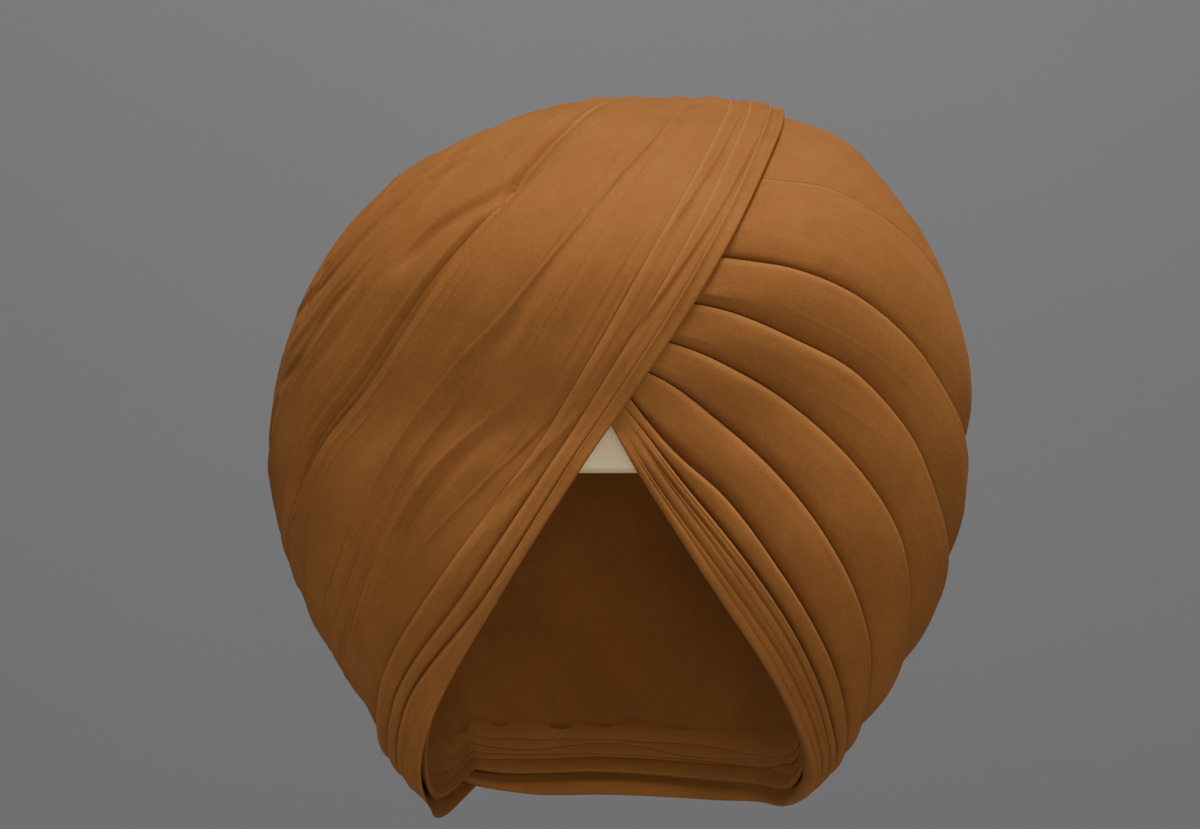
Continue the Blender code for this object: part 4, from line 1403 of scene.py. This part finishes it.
@dataclass(frozen=True)
class CottonFinish:
    """Brushed matt cotton: a fine plain weave under a short nap, in soft mottled ochre."""

    name: str = "turban_cotton"
    deep: tuple = (0.176, 0.071, 0.0218, 1.0)
    main: tuple = (0.244, 0.099, 0.0308, 1.0)
    # The colour of the painted highlight along the lips.
    light: tuple = (0.350, 0.155, 0.0560, 1.0)
    roughness: float = 0.95
    sheen: float = 0.06
    sheen_tint: tuple = (1.0, 0.52, 0.20, 1.0)
    along_scale: tuple = (110.0, 900.0, 1.0)
    across_scale: tuple = (900.0, 160.0, 1.0)
    mottle_scale: float = 30.0
    grain_scale: float = 620.0
    nap_scale: float = 1500.0
    bump_strength: float = 0.32
    bump_depth: float = 0.0004

    def material(self) -> bpy.types.Material:
        """Makes the material.

        Threads are two noises stretched along and across the cloth. Mottle is broad noise in the
        object, grain is noise at the size of the nap's tufts, and nap is finer still.
        """
        paint = Paint(self.name)
        where = paint.cloth()
        place = paint.place()
        lip_highlight_and_hem = paint.lip_highlight_and_hem()
        along = paint.threads(where, self.along_scale, 3.0)
        across = paint.threads(where, self.across_scale, 2.0)
        mottle = paint.noise(place, self.mottle_scale, 5.0, 0.65)
        grain = paint.noise(place, self.grain_scale, 3.0, 0.65)
        nap = paint.noise(place, self.nap_scale, 2.0, 0.7)
        tone = mottle * 1.5 - 0.25 + (along - 0.5) * 0.40 + (across - 0.5) * 0.20 + (grain - 0.5) * 0.85
        colour = paint.mix(tone, self.deep, self.main)
        # Painted highlight: the lips are lightened towards the light colour, where they face the light
        # from above.
        colour = paint.mix(lip_highlight_and_hem * (0.15 + 0.30 * along), colour, self.light)
        relief = along * 0.55 + across * 0.35 + grain * 0.9 + nap * 0.5
        return paint.finish(
            {
                "Base Color": colour,
                "Roughness": self.roughness + (grain - 0.5) * 0.12,
                "Normal": paint.raised(relief, self.bump_strength, self.bump_depth),
                "Specular IOR Level": 0.05,
                "Sheen Weight": self.sheen,
                "Sheen Roughness": 0.5,
                "Sheen Tint": self.sheen_tint,
            }
        )


@dataclass(frozen=True)
class GauzeFinish:
    """Cream gauze: an open plain weave with a darker thread along the hem."""

    name: str = "band_gauze"
    deep: tuple = (0.86, 0.66, 0.35, 1.0)
    main: tuple = (0.98, 0.82, 0.50, 1.0)
    hem: tuple = (0.42, 0.28, 0.12, 1.0)
    roughness: float = 0.92
    sheen: float = 0.10
    sheen_tint: tuple = (1.0, 0.90, 0.70, 1.0)
    warp_scale: tuple = (1500.0, 260.0, 1.0)
    weft_scale: tuple = (260.0, 1500.0, 1.0)
    bump_strength: float = 0.35
    bump_depth: float = 0.0004

    def material(self) -> bpy.types.Material:
        """Makes the material, from two noises of uneven thread along and across the band."""
        paint = Paint(self.name)
        where = paint.cloth()
        lip_highlight_and_hem = paint.lip_highlight_and_hem()
        warp = paint.threads(where, self.warp_scale, 2.0)
        weft = paint.threads(where, self.weft_scale, 2.0)
        tone = 0.6 + (warp - 0.5) * 0.9 + (weft - 0.5) * 0.9
        colour = paint.mix(tone, self.deep, self.main)
        colour = paint.mix(lip_highlight_and_hem * 0.85, colour, self.hem)
        relief = warp * 0.7 + weft * 0.7
        return paint.finish(
            {
                "Base Color": colour,
                "Roughness": self.roughness + (warp - 0.5) * 0.1,
                "Normal": paint.raised(relief, self.bump_strength, self.bump_depth),
                "Specular IOR Level": 0.2,
                "Sheen Weight": self.sheen,
                "Sheen Tint": self.sheen_tint,
            }
        )


# Studio


@dataclass(frozen=True)
class Lamp:
    """A square soft light that looks at a place."""

    name: str
    place: tuple
    target: tuple
    size: float
    power: float
    colour: tuple

    def hang(self) -> None:
        """Puts the light in the scene."""
        light = bpy.data.lights.new(self.name, "AREA")
        light.size = self.size
        light.energy = self.power
        light.color = self.colour
        lamp = bpy.data.objects.new(self.name, light)
        lamp.location = self.place
        towards = Vector(self.target) - Vector(self.place)
        lamp.rotation_euler = towards.to_track_quat("-Z", "Y").to_euler()
        bpy.context.scene.collection.objects.link(lamp)


@dataclass
class Studio:
    """A pale floor that curves up to a grey wall, soft lights, and the camera."""

    wall_distance: float = 3.2
    floor: float = -1.0
    half_width: float = 4.0
    curve: float = 0.5
    wall_top: float = 3.2
    grey: tuple = (0.264, 0.270, 0.291, 1.0)
    eye: tuple = (-0.004, -1.4, 0.020)
    lens: float = 114.5
    sensor: float = 36.0
    floor_from: float = -4.0
    cloud_share: float = 0.93
    room: tuple = (0.86, 0.82, 0.78, 1.0)
    room_light: float = 0.25
    turban: tuple = (0.0, 0.0, 0.02)
    wall: tuple = (0.0, 3.2, 1.0)

    def sweep(self) -> None:
        """Makes the floor and wall as one sheet: a flat run, a quarter circle and an upright."""
        turn = np.linspace(0, np.pi / 2, 25)
        straight = self.wall_distance - self.curve
        bend = straight + self.curve * np.sin(turn), self.floor + self.curve * (1 - np.cos(turn))
        rows = np.array(
            [(self.floor_from, self.floor), *zip(*bend), (self.wall_distance, self.wall_top)]
        )
        across = np.array([-self.half_width, self.half_width])
        points = np.zeros((len(rows), 2, 3))
        points[..., 0] = across
        points[..., 1] = rows[:, :1]
        points[..., 2] = rows[:, 1:]
        index = np.arange(len(rows) * 2).reshape(-1, 2)
        faces = quads_of(index)[:, ::-1].tolist()
        mesh = bpy.data.meshes.new("sweep")
        mesh.from_pydata(points.reshape(-1, 3).tolist(), [], faces)
        mesh.shade_smooth()
        sweep = bpy.data.objects.new("sweep", mesh)
        bpy.context.scene.collection.objects.link(sweep)
        paint = Paint("studio_paper")
        place = paint.place()
        cloud = paint.noise(place, 1.6, 3.0, 0.5)
        darker = tuple(self.cloud_share * c for c in self.grey[:3]) + (1.0,)
        colour = paint.mix(cloud, darker, self.grey)
        mesh.materials.append(paint.finish({"Base Color": colour, "Roughness": 0.9}))

    def lamps(self) -> tuple:
        """Gives the lights: a strong one from above, weak ones from below, and one on the wall."""
        return (
            Lamp("key", (0.25, -0.80, 1.85), self.turban, 0.8, 66.0, (1.0, 0.93, 0.80)),
            Lamp("front", (0.10, -1.85, -0.30), self.turban, 0.9, 13.0, (1.0, 0.97, 0.94)),
            Lamp("low", (-1.4, -0.9, -0.50), self.turban, 1.2, 7.0, (0.92, 0.96, 1.0)),
            Lamp("side", (1.3, -1.0, -0.50), self.turban, 1.2, 6.0, (0.92, 0.96, 1.0)),
            Lamp("wall", (0.0, 1.7, 2.3), self.wall, 1.4, 26.0, (0.97, 0.98, 1.0)),
        )

    def build(self) -> None:
        """Makes the sweep, the lights, the world and the camera."""
        self.sweep()
        for lamp in self.lamps():
            lamp.hang()
        world = bpy.data.worlds.new("room")
        world.use_nodes = True
        background = world.node_tree.nodes["Background"]
        background.inputs[0].default_value = self.room
        background.inputs[1].default_value = self.room_light
        bpy.context.scene.world = world
        camera = bpy.data.objects.new("camera", bpy.data.cameras.new("camera"))
        camera.data.lens = self.lens
        camera.data.sensor_width = self.sensor
        camera.location = self.eye
        camera.rotation_euler = (np.pi / 2, 0.0, 0.0)
        bpy.context.scene.collection.objects.link(camera)
        bpy.context.scene.camera = camera


def corners(box: tuple) -> list:
    """Gives a box's two corners as plain lists."""
    return [[float(x) for x in corner] for corner in box]


def main() -> None:
    """Dresses the turban: builds each sub-assembly, gives it its finish, and sets the studio."""
    logging.basicConfig(level=logging.INFO, format="%(name)s: %(message)s")
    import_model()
    form = TurbanForm()
    cotton = CottonFinish().material()
    gauze = GauzeFinish().material()
    for assembly, finish in (
        (UnderBand(form), gauze),
        (InnerTurns(form), cotton),
        (SideFolds(form), cotton),
        (LastWraps(form), cotton),
    ):
        assembly.build()
        for piece in assembly.made.values():
            piece.data.materials.append(finish)
    Studio().build()
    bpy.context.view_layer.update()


if __name__ == "__main__":
    main()
